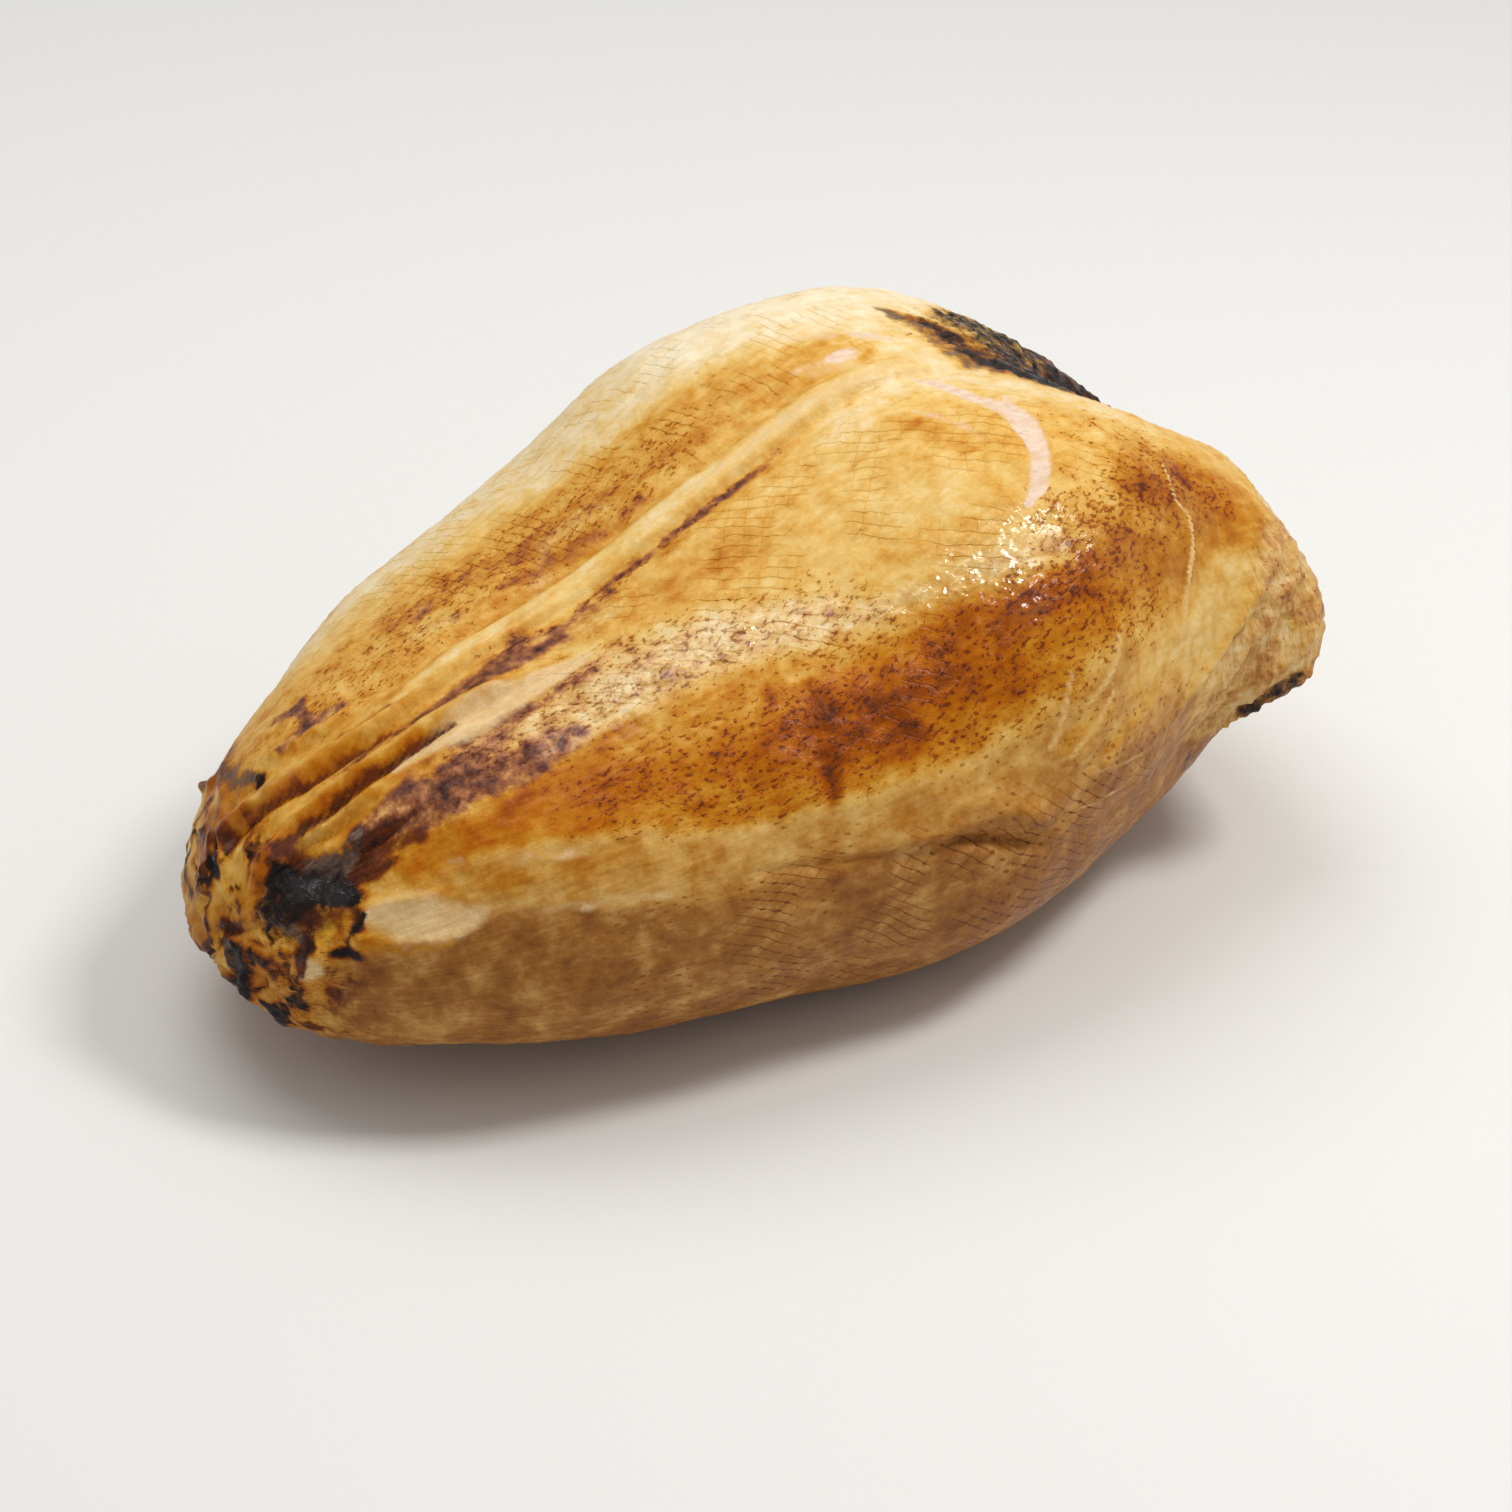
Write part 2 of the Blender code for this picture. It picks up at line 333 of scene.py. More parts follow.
# Browning is painted in this order. Each layer is (depth of browning, share of tan, share of plum,
# marks), and each mark is (stroke or band, shape, softness, strength, raggedness).
LAYERS = (
    # golden skin drawn together at the tail
    (0.40, 0.00, 0.00, (
        (band, ((0.02, -70, 70), (0.10, -44, 60), (0.18, -24, 34), (0.27, -4, 14)), 12, 1, 3),
    )),
    # the left breast beyond its gold: painted sheen, pale whitish colour standing for the sheen along its
    # far side; and pale skin towards the neck
    (0.13, 0.10, 0.00, (
        (band, ((0.14, -66, -48), (0.30, -68, -38), (0.40, -70, -28), (0.50, -70, -22), (0.60, -70, -15),
                  (0.68, -72, -8), (0.76, -74, -8), (0.90, -74, -12)), 18, 0.9, 3),
        (stroke, ((0.60, 10, 9), (0.65, 6, 12), (0.70, 6, 12), (0.74, 12, 10),
            (0.80, 20, 9)), 0.9, 0.8, 2),
    )),
    # paler still: more painted sheen along the far side of the left breast
    (0.03, 0.15, 0.00, (
        (band, ((0.52, -66, -28), (0.60, -66, -20), (0.68, -68, -12), (0.74, -68, -16),
            (0.82, -62, -28)), 14, 0.85, 3),
    )),
    # browning low on the left breast
    (0.52, 0.00, 0.00, (
        (stroke, ((0.22, -72, 7), (0.34, -76, 11), (0.48, -78, 12), (0.60, -78, 10)), 0.9, 0.75, 3),
        (stroke, ((0.74, -70, 8), (0.80, -66, 11), (0.86, -62, 9)), 0.9, 0.75, 3),
    )),
    (0.68, 0.00, 0.15, (
        (stroke, ((0.36, -74, 4), (0.44, -77, 6), (0.50, -78, 5)), 0.9, 0.6, 4),
        (stroke, ((0.80, -68, 4), (0.84, -64, 5)), 0.9, 0.6, 3),
    )),
    # gold of the left breast
    (0.40, 0.00, 0.00, (
        (band, ((0.10, -26, 0), (0.25, -31, 0), (0.34, -28, 0), (0.42, -24, -1), (0.50, -21, -1),
                  (0.58, -15, -1), (0.64, -12, -3)), 8, 1, 2.6),
    )),
    # pale yellow strip on the breastbone
    (0.21, 0.00, 0.00, (
        (stroke, ((0.17, 0.8, 1.2), (0.22, 0.6, 2.2), (0.30, 0.2, 3.2), (0.45, 0.6, 3.6),
            (0.56, 0.4, 3.2), (0.64, 0.4, 2.4)),
         0.8, 0.85, 1.6),
    )),
    # its darker, pinkish brown beside the breastbone and in rows of scorched spots
    (0.56, 0.15, 0.45, (
        (stroke, ((0.22, -20, 3), (0.26, -21, 4), (0.29, -22, 3)), 0.9, 0.7, 2.4),
        (stroke, ((0.30, -20, 2.5), (0.34, -17, 4), (0.37, -17, 4), (0.42, -14, 3)), 0.9, 0.8, 2.4),
        (stroke, ((0.31, -11, 2.5), (0.35, -9, 3.5), (0.39, -7, 3), (0.43, -6, 2)), 0.8, 0.8, 1.8),
        (stroke, ((0.43, -10, 2), (0.47, -10, 2), (0.52, -10, 1.5)), 0.9, 0.5, 1.8),
    )),
    # glow of the near breast top
    (0.33, 0.00, 0.00, (
        (band, ((0.38, 6, 26), (0.46, 6, 34), (0.56, 7, 42), (0.66, 14, 46), (0.76, 26, 44)), 12, 0.9, 3),
    )),
    (0.47, 0.05, 0.10, (
        (stroke, ((0.29, 10, 4), (0.33, 12, 5), (0.37, 15, 6), (0.42, 16, 6),
            (0.46, 17, 4)), 0.9, 0.8, 2.6),
        (stroke, ((0.40, 7, 3), (0.46, 6, 3), (0.53, 5, 2)), 0.9, 0.6, 1.6),
        (stroke, ((0.60, 11, 1.5), (0.611, 16, 2.5), (0.622, 22, 2.5), (0.634, 26, 1.5)), 0.9, 0.75, 1.2),
    )),
    (0.22, 0.00, 0.00, (
        (stroke, ((0.56, 8, 6), (0.60, 8, 7), (0.64, 10, 6)), 0.8, 0.7, 2),
        (stroke, ((0.535, 20, 6), (0.56, 28, 8), (0.60, 32, 7)), 0.9, 0.6, 2.4),
        (stroke, ((0.47, 26, 6), (0.50, 30, 6)), 0.9, 0.4, 2.4),
    )),
    # beige skin with dark flecks between the golden top and the glaze
    (0.25, 0.30, 0.45, (
        (band, ((0.17, 19, 29), (0.25, 19, 32), (0.325, 20, 33), (0.385, 23, 37), (0.43, 29, 41),
                  (0.48, 36, 46), (0.53, 41, 49), (0.60, 42, 52), (0.66, 45, 52)), 7, 0.9, 3),
        (stroke, ((0.27, 9, 4), (0.31, 10, 4), (0.34, 12, 3)), 0.7, 0.6, 1.6),
        (stroke, ((0.225, -12, 2.5), (0.255, -11, 3)), 0.7, 0.7, 1.2),
    )),
    # deep orange-brown glaze on the right breast
    (0.58, 0.00, 0.00, (
        (band, ((0.08, 36, 45), (0.14, 38, 48), (0.21, 33, 54), (0.26, 34, 58), (0.34, 36, 63),
                  (0.43, 41, 67), (0.50, 45, 69), (0.56, 48, 68), (0.62, 51, 63),
                      (0.68, 52, 60)), 6, 1, 3),
        (stroke, ((0.62, 60, 8), (0.68, 57, 8), (0.72, 56, 7)), 0.7, 0.7, 2),
        (stroke, ((0.60, 71, 6), (0.64, 74, 6)), 0.8, 0.45, 2),
    )),
    (0.48, 0.00, 0.00, (
        (stroke, ((0.26, 37, 4), (0.32, 39, 5), (0.36, 44, 4)), 0.9, 0.65, 2),
        (stroke, ((0.27, 52, 4), (0.33, 57, 4), (0.38, 62, 3)), 0.9, 0.5, 2),
        (stroke, ((0.592, 60, 4), (0.61, 62, 4)), 0.8, 0.7, 1.6),
    )),
    # golden upper edge of the glaze
    (0.42, 0.00, 0.00, (
        (stroke, ((0.28, 37, 3), (0.33, 38, 4), (0.37, 40, 4.5), (0.41, 42.5, 4.5), (0.46, 43, 4),
            (0.52, 45.5, 4), (0.57, 48, 3)),
         0.95, 0.75, 3),
        (stroke, ((0.40, 62, 3), (0.46, 65, 3.5), (0.52, 65, 3)), 0.95, 0.4, 3),
    )),
    (0.76, 0.00, 0.00, (
        (stroke, ((0.33, 54, 3), (0.37, 53, 5), (0.41, 54, 8), (0.46, 56, 9), (0.50, 57, 8),
            (0.56, 56, 6)),
         0.9, 0.45, 5),
        (stroke, ((0.50, 48, 3), (0.54, 50, 4), (0.60, 53, 4), (0.64, 55, 3)), 0.9, 0.45, 4),
        (stroke, ((0.15, 41, 2.5), (0.20, 41, 3.5), (0.24, 43, 2.5)), 0.9, 0.2, 2),
    )),
    (0.84, 0.00, 0.00, (
        (stroke, ((0.372, 41, 1.2), (0.374, 42, 1.2)), 0.95, 0.6, 3),
        (stroke, ((0.404, 46, 2.2), (0.410, 50, 3.4), (0.41, 56, 3)), 0.95, 0.55, 6),
        (stroke, ((0.43, 55, 4), (0.47, 58, 4), (0.51, 58, 3)), 0.95, 0.4, 6),
        (stroke, ((0.397, 57, 2), (0.393, 63, 1.5), (0.388, 70, 0.9)), 0.9, 0.75, 2.4),
        (stroke, ((0.47, 60, 2), (0.478, 63, 1.5)), 0.8, 0.6, 1.6),
    )),
    # pale tan skin under the glaze
    (0.37, 0.60, 0.00, (
        (band, ((0.11, 47, 60), (0.18, 52, 64), (0.27, 60, 77), (0.34, 65, 82), (0.43, 70, 84),
                  (0.50, 72, 85), (0.56, 71, 84), (0.62, 68, 80), (0.68, 66, 76)), 5, 0.95, 2.6),
    )),
    (0.45, 0.30, 0.00, (
        (stroke, ((0.15, 52, 3), (0.19, 56, 4), (0.22, 59, 3)), 0.8, 0.7, 1.6),
        (stroke, ((0.24, 60, 3), (0.28, 66, 3)), 0.9, 0.5, 1.6),
    )),
    # tan of the flanks and the underside
    (0.45, 1.00, 0.10, (
        (band, ((0.02, 64, 181), (0.12, 61, 181), (0.18, 66, 181), (0.27, 77, 181), (0.43, 84, 181),
                  (0.56, 84, 181), (0.66, 82, 181), (0.80, 86, 181), (0.99, 100, 181)), 10, 1, 3),
        (band, ((0.02, -181, -85), (0.30, -181, -82), (0.60, -181, -86), (0.80, -181, -90),
            (0.99, -181, -100)),
         16, 1, 3),
    )),
    (0.36, 0.80, 0.00, (
        (stroke, ((0.58, 80, 5), (0.66, 86, 7), (0.74, 88, 7), (0.80, 88, 5)), 0.9, 0.6, 2.4),
        (stroke, ((0.28, 82, 4), (0.36, 88, 4)), 0.9, 0.4, 2.4),
    )),
    # brown of the shoulder
    (0.56, 0.35, 0.00, (
        (stroke, ((0.745, 44, 7), (0.775, 48, 10), (0.82, 50, 11), (0.855, 54, 8)), 0.8, 0.9, 2.8),
        (stroke, ((0.68, 52, 7), (0.72, 55, 9), (0.76, 58, 8)), 0.9, 0.8, 2.8),
        (stroke, ((0.70, 78, 5), (0.74, 80, 5)), 0.9, 0.4, 2.4),
    )),
    (0.74, 0.10, 0.35, (
        (stroke, ((0.755, 45, 3), (0.768, 47, 3)), 0.9, 0.8, 2),
        (stroke, ((0.822, 46, 4.5), (0.845, 48, 4.5)), 0.9, 0.75, 2),
    )),
    (0.50, 0.00, 0.00, (
        (stroke, ((0.84, 44, 4), (0.858, 52, 5), (0.866, 58, 4)), 0.9, 0.8, 1.8),
        (stroke, ((0.75, 38, 4), (0.79, 42, 5)), 0.9, 0.4, 2),
    )),
    # straw yellow patches on the shoulder
    (0.27, 0.20, 0.00, (
        (stroke, ((0.82, 65, 6), (0.80, 69, 8), (0.78, 73, 6)), 0.7, 0.95, 1.8),
        (stroke, ((0.76, 72, 3.5), (0.73, 71, 3.5), (0.705, 70, 2.5)), 0.7, 0.75, 1.4),
        (stroke, ((0.84, 84, 2.5), (0.858, 85, 2.5)), 0.7, 0.6, 1.2),
    )),
    (0.40, 0.00, 0.00, (
        (stroke, ((0.592, 76, 2), (0.61, 76, 3), (0.645, 75, 2.5)), 0.7, 0.8, 1.2),
        (stroke, ((0.655, 81, 2), (0.645, 84, 1.6)), 0.7, 0.7, 1),
    )),
    # greyish purple wrinkles of the wing stump
    (0.29, 0.50, 0.50, (
        (band, ((0.79, 82, 104), (0.835, 68, 112), (0.86, 60, 120), (0.90, 52, 130),
            (0.99, 20, 150)), 8, 0.85, 2.4),
    )),
    # browned, wrinkled skin of the neck hollow
    (0.46, 0.55, 0.55, (
        (stroke, ((0.735, -19, 1.5), (0.75, -12, 4), (0.762, 0, 6), (0.80, 6, 9), (0.84, 4, 13),
            (0.90, -8, 17),
                    (0.95, -10, 17)), 0.9, 0.95, 3),
    )),
    # purple-brown crust with a greyish bloom
    (0.60, 0.00, 1.00, (
        (stroke, ((0.085, 26, 3.5), (0.11, 29, 5.5), (0.14, 31, 6.5), (0.17, 31, 6), (0.20, 32, 5),
            (0.24, 33, 3)), 0.7, 1, 3),
        (stroke, ((0.155, 25, 1.6), (0.185, 25, 2.2), (0.215, 22, 2.2), (0.25, 22, 1.2)), 0.8, 0.85, 2),
        (stroke, ((0.18, 10, 1.6), (0.22, 9, 2.4), (0.26, 7, 3.2), (0.31, 7, 3.2),
            (0.35, 7, 2)), 0.9, 0.8, 2.2),
        (stroke, ((0.13, 20.3, 1.2), (0.17, 21, 1.8), (0.22, 20.6, 1.8), (0.27, 20.2, 1.6),
            (0.33, 19, 2.2)), 0.95, 0.55, 2.4),
        (stroke, ((0.33, 4.5, 1), (0.38, 4.5, 1.5), (0.44, 5, 1.5), (0.50, 5, 1.2),
            (0.53, 4, 0.8)), 0.8, 0.8, 0.8),
        (stroke, ((0.125, -15, 2), (0.125, -22, 3), (0.11, -25, 2.5)), 0.8, 0.9, 2.4),
        (stroke, ((0.092, -13, 2), (0.12, -12, 3), (0.145, -9, 1.6)), 0.8, 0.9, 2),
        (stroke, ((0.095, 7.5, 1.2), (0.13, 8.5, 2), (0.16, 9, 2.4), (0.20, 10, 2.4), (0.25, 11, 2),
            (0.30, 9, 2)),
         0.9, 0.85, 1.6),
        (stroke, ((0.10, -1.5, 1), (0.13, 0, 1.5), (0.16, 1, 1)), 0.9, 0.8, 1),
        (stroke, ((0.092, 22, 1.6), (0.115, 23, 2), (0.14, 24, 1.6)), 0.9, 0.7, 1.6),
        (stroke, ((0.24, -17, 2), (0.255, -20, 2)), 0.9, 0.6, 1.6),
    )),
    # orange-gold of the folds
    (0.43, 0.00, 0.00, (
        (stroke, ((0.18, 3, 1), (0.15, 2.5, 1.6), (0.114, 0.5, 2.2), (0.079, -3, 2.8),
            (0.057, -9, 3.2), (0.041, -16, 2.8),
                    (0.031, -17, 2.5)), 0.6, 0.95, 0.6),
        (stroke, ((0.29, 15, 0.5), (0.22, 13.2, 1.3), (0.17, 12.3, 2), (0.125, 12, 2.6),
            (0.088, 10.5, 3.2),
                    (0.061, 10, 3.4), (0.040, 9, 3.4), (0.020, 12, 3.4)), 0.6, 0.95, 0.4),
        (stroke, ((0.13, 18.5, 1.8), (0.10, 19.5, 2.6), (0.075, 20, 3), (0.055, 16, 2.6),
            (0.040, 15, 2.4)), 0.7, 0.95, 0.6),
    )),
    (0.56, 0.00, 0.00, (
        (stroke, ((0.16, 13.4, 0.8), (0.12, 13.4, 1.2), (0.09, 12.2, 1.4), (0.06, 11.5, 1.8),
            (0.030, 13, 2.6)), 0.9, 0.7, 0.8),
        (stroke, ((0.13, 3.4, 1.2), (0.10, 2, 1.8), (0.075, -2, 2.2), (0.058, -5, 2.6),
            (0.045, -10, 2.6)), 0.9, 0.9, 0.8),
        (stroke, ((0.044, -17, 1.2), (0.038, -20, 1.2)), 0.8, 0.7, 0.4),
        (stroke, ((0.024, 13, 1.4), (0.014, 12, 1.6)), 0.9, 0.8, 0.6),
    )),
    (0.28, 0.00, 0.00, (
        (stroke, ((0.060, -8, 1.6), (0.061, -7, 1.6)), 0.9, 0.8, 0.4),
        (stroke, ((0.20, 12, 1), (0.16, 10.8, 1.5), (0.13, 9.8, 1.6)), 0.9, 0.6, 0.6),
        (stroke, ((0.10, 9, 1.5), (0.088, 7.5, 1.6)), 0.9, 0.5, 0.6),
    )),
    # islands of gold among the white patches
    (0.42, 0.00, 0.00, (
        (stroke, ((0.614, -4, 2),), 0.7, 0.9, 0.4),
        (stroke, ((0.656, -11, 1.8),), 0.7, 0.7, 0.4),
        (stroke, ((0.651, -4.5, 1.4), (0.662, -6, 1.2)), 0.7, 0.9, 0.4),
        (stroke, ((0.632, -11, 1.5), (0.60, -11, 2)), 0.9, 0.6, 0.8),
    )),
    # tail end: browned, blistered skin
    (0.54, 0.45, 0.10, (
        (stroke, ((0.075, -56, 5), (0.053, -36, 5), (0.040, -30, 6), (0.028, -27, 6.5),
            (0.016, -32, 7), (0.008, -60, 9)),
         0.8, 1, 1.6),
        (stroke, ((0.006, 10, 5), (0.008, 120, 6), (0.012, 175, 7)), 0.9, 0.7, 1.2),
    )),
    (0.30, 0.60, 0.00, (
        (stroke, ((0.056, -39, 2.2), (0.048, -37, 1.6)), 0.7, 0.8, 0.8),
        (stroke, ((0.020, -50, 3), (0.012, -80, 3)), 0.9, 0.5, 1),
    )),
    (0.50, 0.15, 0.00, (
        (stroke, ((0.012, 62, 4), (0.020, 74, 4), (0.03, 84, 3)), 0.9, 0.8, 1.2),
        (stroke, ((0.110, 52, 2.4), (0.128, 54, 3.4), (0.150, 56, 2)), 0.8, 0.8, 1.2),
        (stroke, ((0.096, 48, 1.8),), 0.7, 0.9, 0.6),
        (stroke, ((0.055, 60, 1.2), (0.076, 65, 1.6), (0.100, 67, 1.2)), 0.7, 0.9, 0.6),
        (stroke, ((0.012, 100, 6), (0.012, 150, 7)), 0.9, 0.6, 1.2),
    )),
)

# Overlays, each a mask of its own on the mesh.
OVERLAYS = {
    # pale cream: skin pulled tight, and cooked meat bared by shrunken skin
    "cream": (
        (stroke, ((0.13, 17.3, 1.2), (0.16, 17.5, 2.6), (0.19, 17.4, 4.2), (0.225, 17, 3.8),
            (0.26, 16.8, 2.8), (0.30, 17, 1.4)),
         0.8, 1, 1.6),
        (stroke, ((0.064, 50, 2.6), (0.072, 53, 4.4), (0.086, 56, 5.2), (0.103, 60, 4.4),
            (0.120, 63, 2.6), (0.14, 65, 1)),
         0.95, 1, 2.6),
        (stroke, ((0.112, 46, 1.4), (0.14, 48, 2), (0.17, 51, 2), (0.20, 55, 1)), 0.95, 0.5, 3),
        (stroke, ((0.028, 66, 2.6), (0.024, 70, 2.2)), 0.6, 0.85, 0.8),
        (stroke, ((0.595, -7, 2.5), (0.61, -6, 3.5), (0.635, -6, 4.5)), 0.8, 0.55, 1.4),
        (stroke, ((0.45, 1, 1), (0.50, 0.8, 2.2), (0.56, 0.6, 3), (0.62, 0.6, 2.8),
            (0.67, 0.8, 1)), 0.9, 0.6, 1.2),
        (stroke, ((0.135, 65, 1.2), (0.20, 70, 1.5), (0.26, 76, 1.2)), 0.9, 0.5, 1.4),
    ),
    # pinkish white tears and lifted patches
    "tear": (
        (stroke, ((0.668, 4, 0.8), (0.677, 11, 2), (0.684, 17, 2.8), (0.694, 23, 3.8), (0.690, 28, 3.2),
                    (0.677, 33, 2.6), (0.660, 37, 2.1), (0.636, 40, 0.8)), 0.45, 1, 1),
        (stroke, ((0.712, 17, 0.8), (0.702, 20, 1.2), (0.694, 23, 1.6)), 0.5, 0.7, 0.7),
        (stroke, ((0.625, 14, 1), (0.634, 17, 1.8), (0.645, 21, 1.4), (0.650, 25, 0.8)), 0.9, 0.6, 1.6),
        (stroke, ((0.628, -17, 2.5), (0.648, -14, 3.5)), 0.95, 0.45, 3),
        (stroke, ((0.668, -12, 2.2), (0.684, -10, 2.6), (0.695, -8, 1.2)), 0.9, 0.8, 2.4),
        (stroke, ((0.628, -7, 2), (0.645, -7, 2.4)), 0.7, 0.8, 0.8),
    ),
    # black char; the stroke in the slit under the breast's overlapping skin is painted shade
    "char_and_slit_shade": (
        (stroke, ((0.036, 19, 3), (0.040, 28, 4.6), (0.052, 33, 4.6), (0.058, 40, 3)), 0.7, 1, 2.2),
        (stroke, ((0.026, 20, 2.6), (0.021, 26, 3.4), (0.028, 34, 3.4)), 0.8, 0.9, 2),
        (stroke, ((0.034, 44, 2), (0.030, 54, 1.8)), 0.8, 0.6, 1.6),
        (stroke, ((0.042, -26, 0.7), (0.034, -34, 0.9), (0.024, -36, 0.8),
            (0.014, -40, 0.8)), 0.9, 0.85, 1),
        (stroke, ((0.030, -20, 0.8), (0.020, -17, 0.9), (0.012, -18, 0.8)), 0.9, 0.85, 0.8),
        (stroke, ((0.052, -44, 1.2), (0.034, -60, 1.4), (0.020, -80, 1.4)), 0.9, 0.7, 1.4),
        (stroke, ((0.034, 50, 0.8), (0.028, 60, 1.2), (0.018, 56, 1.4)), 0.9, 0.7, 1.4),
        (stroke, ((0.003, 60, 3), (0.002, 110, 3.6), (0.004, 170, 3)), 0.8, 0.97, 1.8),
        (stroke, ((0.010, 60, 1.6), (0.004, 40, 1.2), (0.002, 10, 1)), 0.8, 0.8, 1),
        (stroke, ((0.036, 60, 1), (0.044, 62, 1.4), (0.050, 66, 1)), 0.7, 0.95, 1),
        (stroke, ((0.060, 49, 0.9), (0.052, 53, 1.2), (0.046, 57, 1)), 0.7, 0.9, 1),
        (stroke, ((0.072, -15, 1.4), (0.066, -14, 1.4)), 0.8, 0.8, 0.8),
        (stroke, ((0.748, -17, 2), (0.757, -8, 3.6), (0.768, 0, 4.6), (0.80, 4, 6)), 0.9, 0.7, 3.4),
        (band, ((0.772, -20, 8), (0.80, -24, 14), (0.85, -30, 20), (0.92, -40, 24),
            (0.99, -60, 40)), 9, 0.72, 3),
        (stroke, ((0.86, 101, 2.6), (0.872, 96, 2.2), (0.88, 90, 1.6)), 0.8, 0.7, 1.4),
        (stroke, ((0.815, 122, 1.6), (0.82, 116, 1.6)), 0.8, 0.6, 1),
        (stroke, ((0.001, -20, 0.8), (0.010, -17, 0.8), (0.012, -30, 0.8)), 0.7, 0.7, 0.6),
        # painted shade: black along the slit where the breast skin overlaps the flank
        (stroke, ((0.49, 87.5, 0.7), (0.517, 89.5, 0.9), (0.535, 91.5, 0.7)), 0.9, 0.35, 1),
        (stroke, ((0.012, -80, 1.2), (0.02, -72, 1.6)), 0.8, 0.7, 1),
    ),
    # grey-black leathery skin round the char
    "ash": (
        (stroke, ((0.088, 26, 1.4), (0.074, 27, 3), (0.062, 27, 3.4), (0.050, 22, 2.4)), 0.95, 0.75, 2.4),
        (stroke, ((0.084, -44, 3), (0.070, -38, 3), (0.062, -26, 3), (0.068, -18, 2.4),
            (0.075, -14, 1.2)), 0.95, 0.75, 2.4),
        (stroke, ((0.068, -60, 2.4), (0.075, -52, 2.6)), 0.8, 0.9, 1.4),
        (stroke, ((0.725, -21, 2), (0.745, -12, 5), (0.758, 0, 7), (0.80, 6, 9), (0.84, 4, 13),
            (0.90, -8, 17),
                    (0.95, -10, 17)), 0.9, 0.62, 4),
        (stroke, ((0.024, 40, 1.8), (0.027, 48, 2)), 0.8, 0.8, 1.2),
        (stroke, ((0.88, 98, 3), (0.90, 90, 3)), 0.9, 0.5, 1.6),
        (stroke, ((0.004, 2, 2.4), (0.005, 12, 2)), 0.8, 0.5, 0.6),
    ),
    # dark red, sticky, at the tail; the strokes under the fold lips are painted shade in the creases
    "red": (
        (stroke, ((0.046, 19, 3), (0.052, 26, 3), (0.066, 31, 3.6), (0.088, 32, 3),
            (0.11, 36, 2)), 0.9, 0.9, 1.6),
        (stroke, ((0.022, 24, 5), (0.030, 40, 6), (0.045, 44, 4)), 0.9, 0.7, 2),
        (stroke, ((0.066, 35, 1.8), (0.078, 37, 1.8), (0.094, 38, 1)), 0.9, 0.85, 1.2),
        (stroke, ((0.034, 36, 2), (0.038, 42, 1.4)), 0.8, 0.8, 0.8),
        (stroke, ((0.058, 47, 1.2), (0.054, 53, 1.6)), 0.8, 0.9, 0.6),
        (stroke, ((0.034, -14, 1.4), (0.030, -9, 1.4)), 0.8, 0.95, 0.5),
        # painted shade: the next three strokes darken the creases under the lips of the folds
        (stroke, ((0.183, 15.3, 0.9), (0.155, 15.2, 1.2), (0.13, 15.2, 1.3), (0.095, 14.1, 1.1),
                    (0.065, 13.3, 1), (0.045, 12.6, 1)), 0.95, 0.85, 0.9),
        (stroke, ((0.15, 5.6, 0.4), (0.13, 5.4, 0.8), (0.114, 4.9, 1), (0.086, 2.7, 1.1),
            (0.065, -1.2, 1.2), (0.048, -5, 1),
                    (0.036, -7, 1)), 0.95, 0.75, 0.9),
        (stroke, ((0.12, 29.5, 0.6), (0.095, 29.5, 1.2), (0.07, 29, 1.2)), 0.8, 0.9, 0.6),
        (stroke, ((0.012, 58, 1.2), (0.014, 66, 1.2)), 0.9, 0.6, 0.8),
    ),
    # yellow fat
    "fat": (
        (stroke, ((0.040, 49, 2.2), (0.036, 53, 1.8)), 0.6, 0.95, 0.6),
        (stroke, ((0.061, 42.5, 1.4),), 0.7, 0.9, 0.4),
        (stroke, ((0.018, -7, 0.8), (0.011, 4, 0.8)), 0.6, 0.8, 0.2),
        (stroke, ((0.070, -64, 1), (0.068, -62, 1)), 0.6, 0.7, 0.4),
    ),
    # pale stretch lines and scars
    "scar": (
        (stroke, ((0.795, 42, 0.4), (0.783, 49, 0.6), (0.793, 52, 0.8), (0.780, 58, 0.9),
            (0.767, 61, 0.9),
                    (0.755, 66, 1.2), (0.745, 70, 1.2)), 0.6, 0.9, 0.4),
        (stroke, ((0.664, 64, 0.9), (0.658, 67, 1.2), (0.643, 70, 1.2), (0.621, 72, 0.8)), 0.7, 0.7, 0.5),
        (stroke, ((0.700, 68, 0.7), (0.686, 72, 0.9)), 0.7, 0.6, 0.5),
        (stroke, ((0.652, 72, 1), (0.628, 76, 1.2), (0.600, 79, 0.8)), 0.7, 0.7, 0.5),
        (stroke, ((0.610, 66, 1), (0.597, 71, 1.4), (0.582, 76, 1.2)), 0.7, 0.65, 0.5),
        (stroke, ((0.62, 84, 0.4), (0.66, 86, 0.6), (0.70, 87, 0.5)), 0.7, 0.5, 0.6),
        (stroke, ((0.60, 90, 0.4), (0.64, 91, 0.6), (0.69, 93, 0.4)), 0.7, 0.5, 0.6),
        (stroke, ((0.475, 24, 0.35), (0.50, 26, 0.6), (0.525, 28, 0.3)), 0.7, 0.6, 0.4),
        (stroke, ((0.52, 33, 0.3), (0.54, 36, 0.5)), 0.7, 0.5, 0.4),
    ),
    # fibrous, wrinkled skin of the wing stumps and the neck hollow
    "fibre": (
        (band, ((0.80, 80, 104), (0.835, 66, 112), (0.86, 60, 120), (0.90, 52, 130),
            (0.99, 20, 150)), 8, 0.95, 2),
        (stroke, ((0.86, -70, 9), (0.90, -78, 12)), 0.9, 0.8, 1.8),
        (stroke, ((0.75, -16, 3), (0.79, -11, 8), (0.84, -9, 12), (0.90, -8, 14),
            (0.94, 0, 16)), 0.9, 0.9, 1.8),
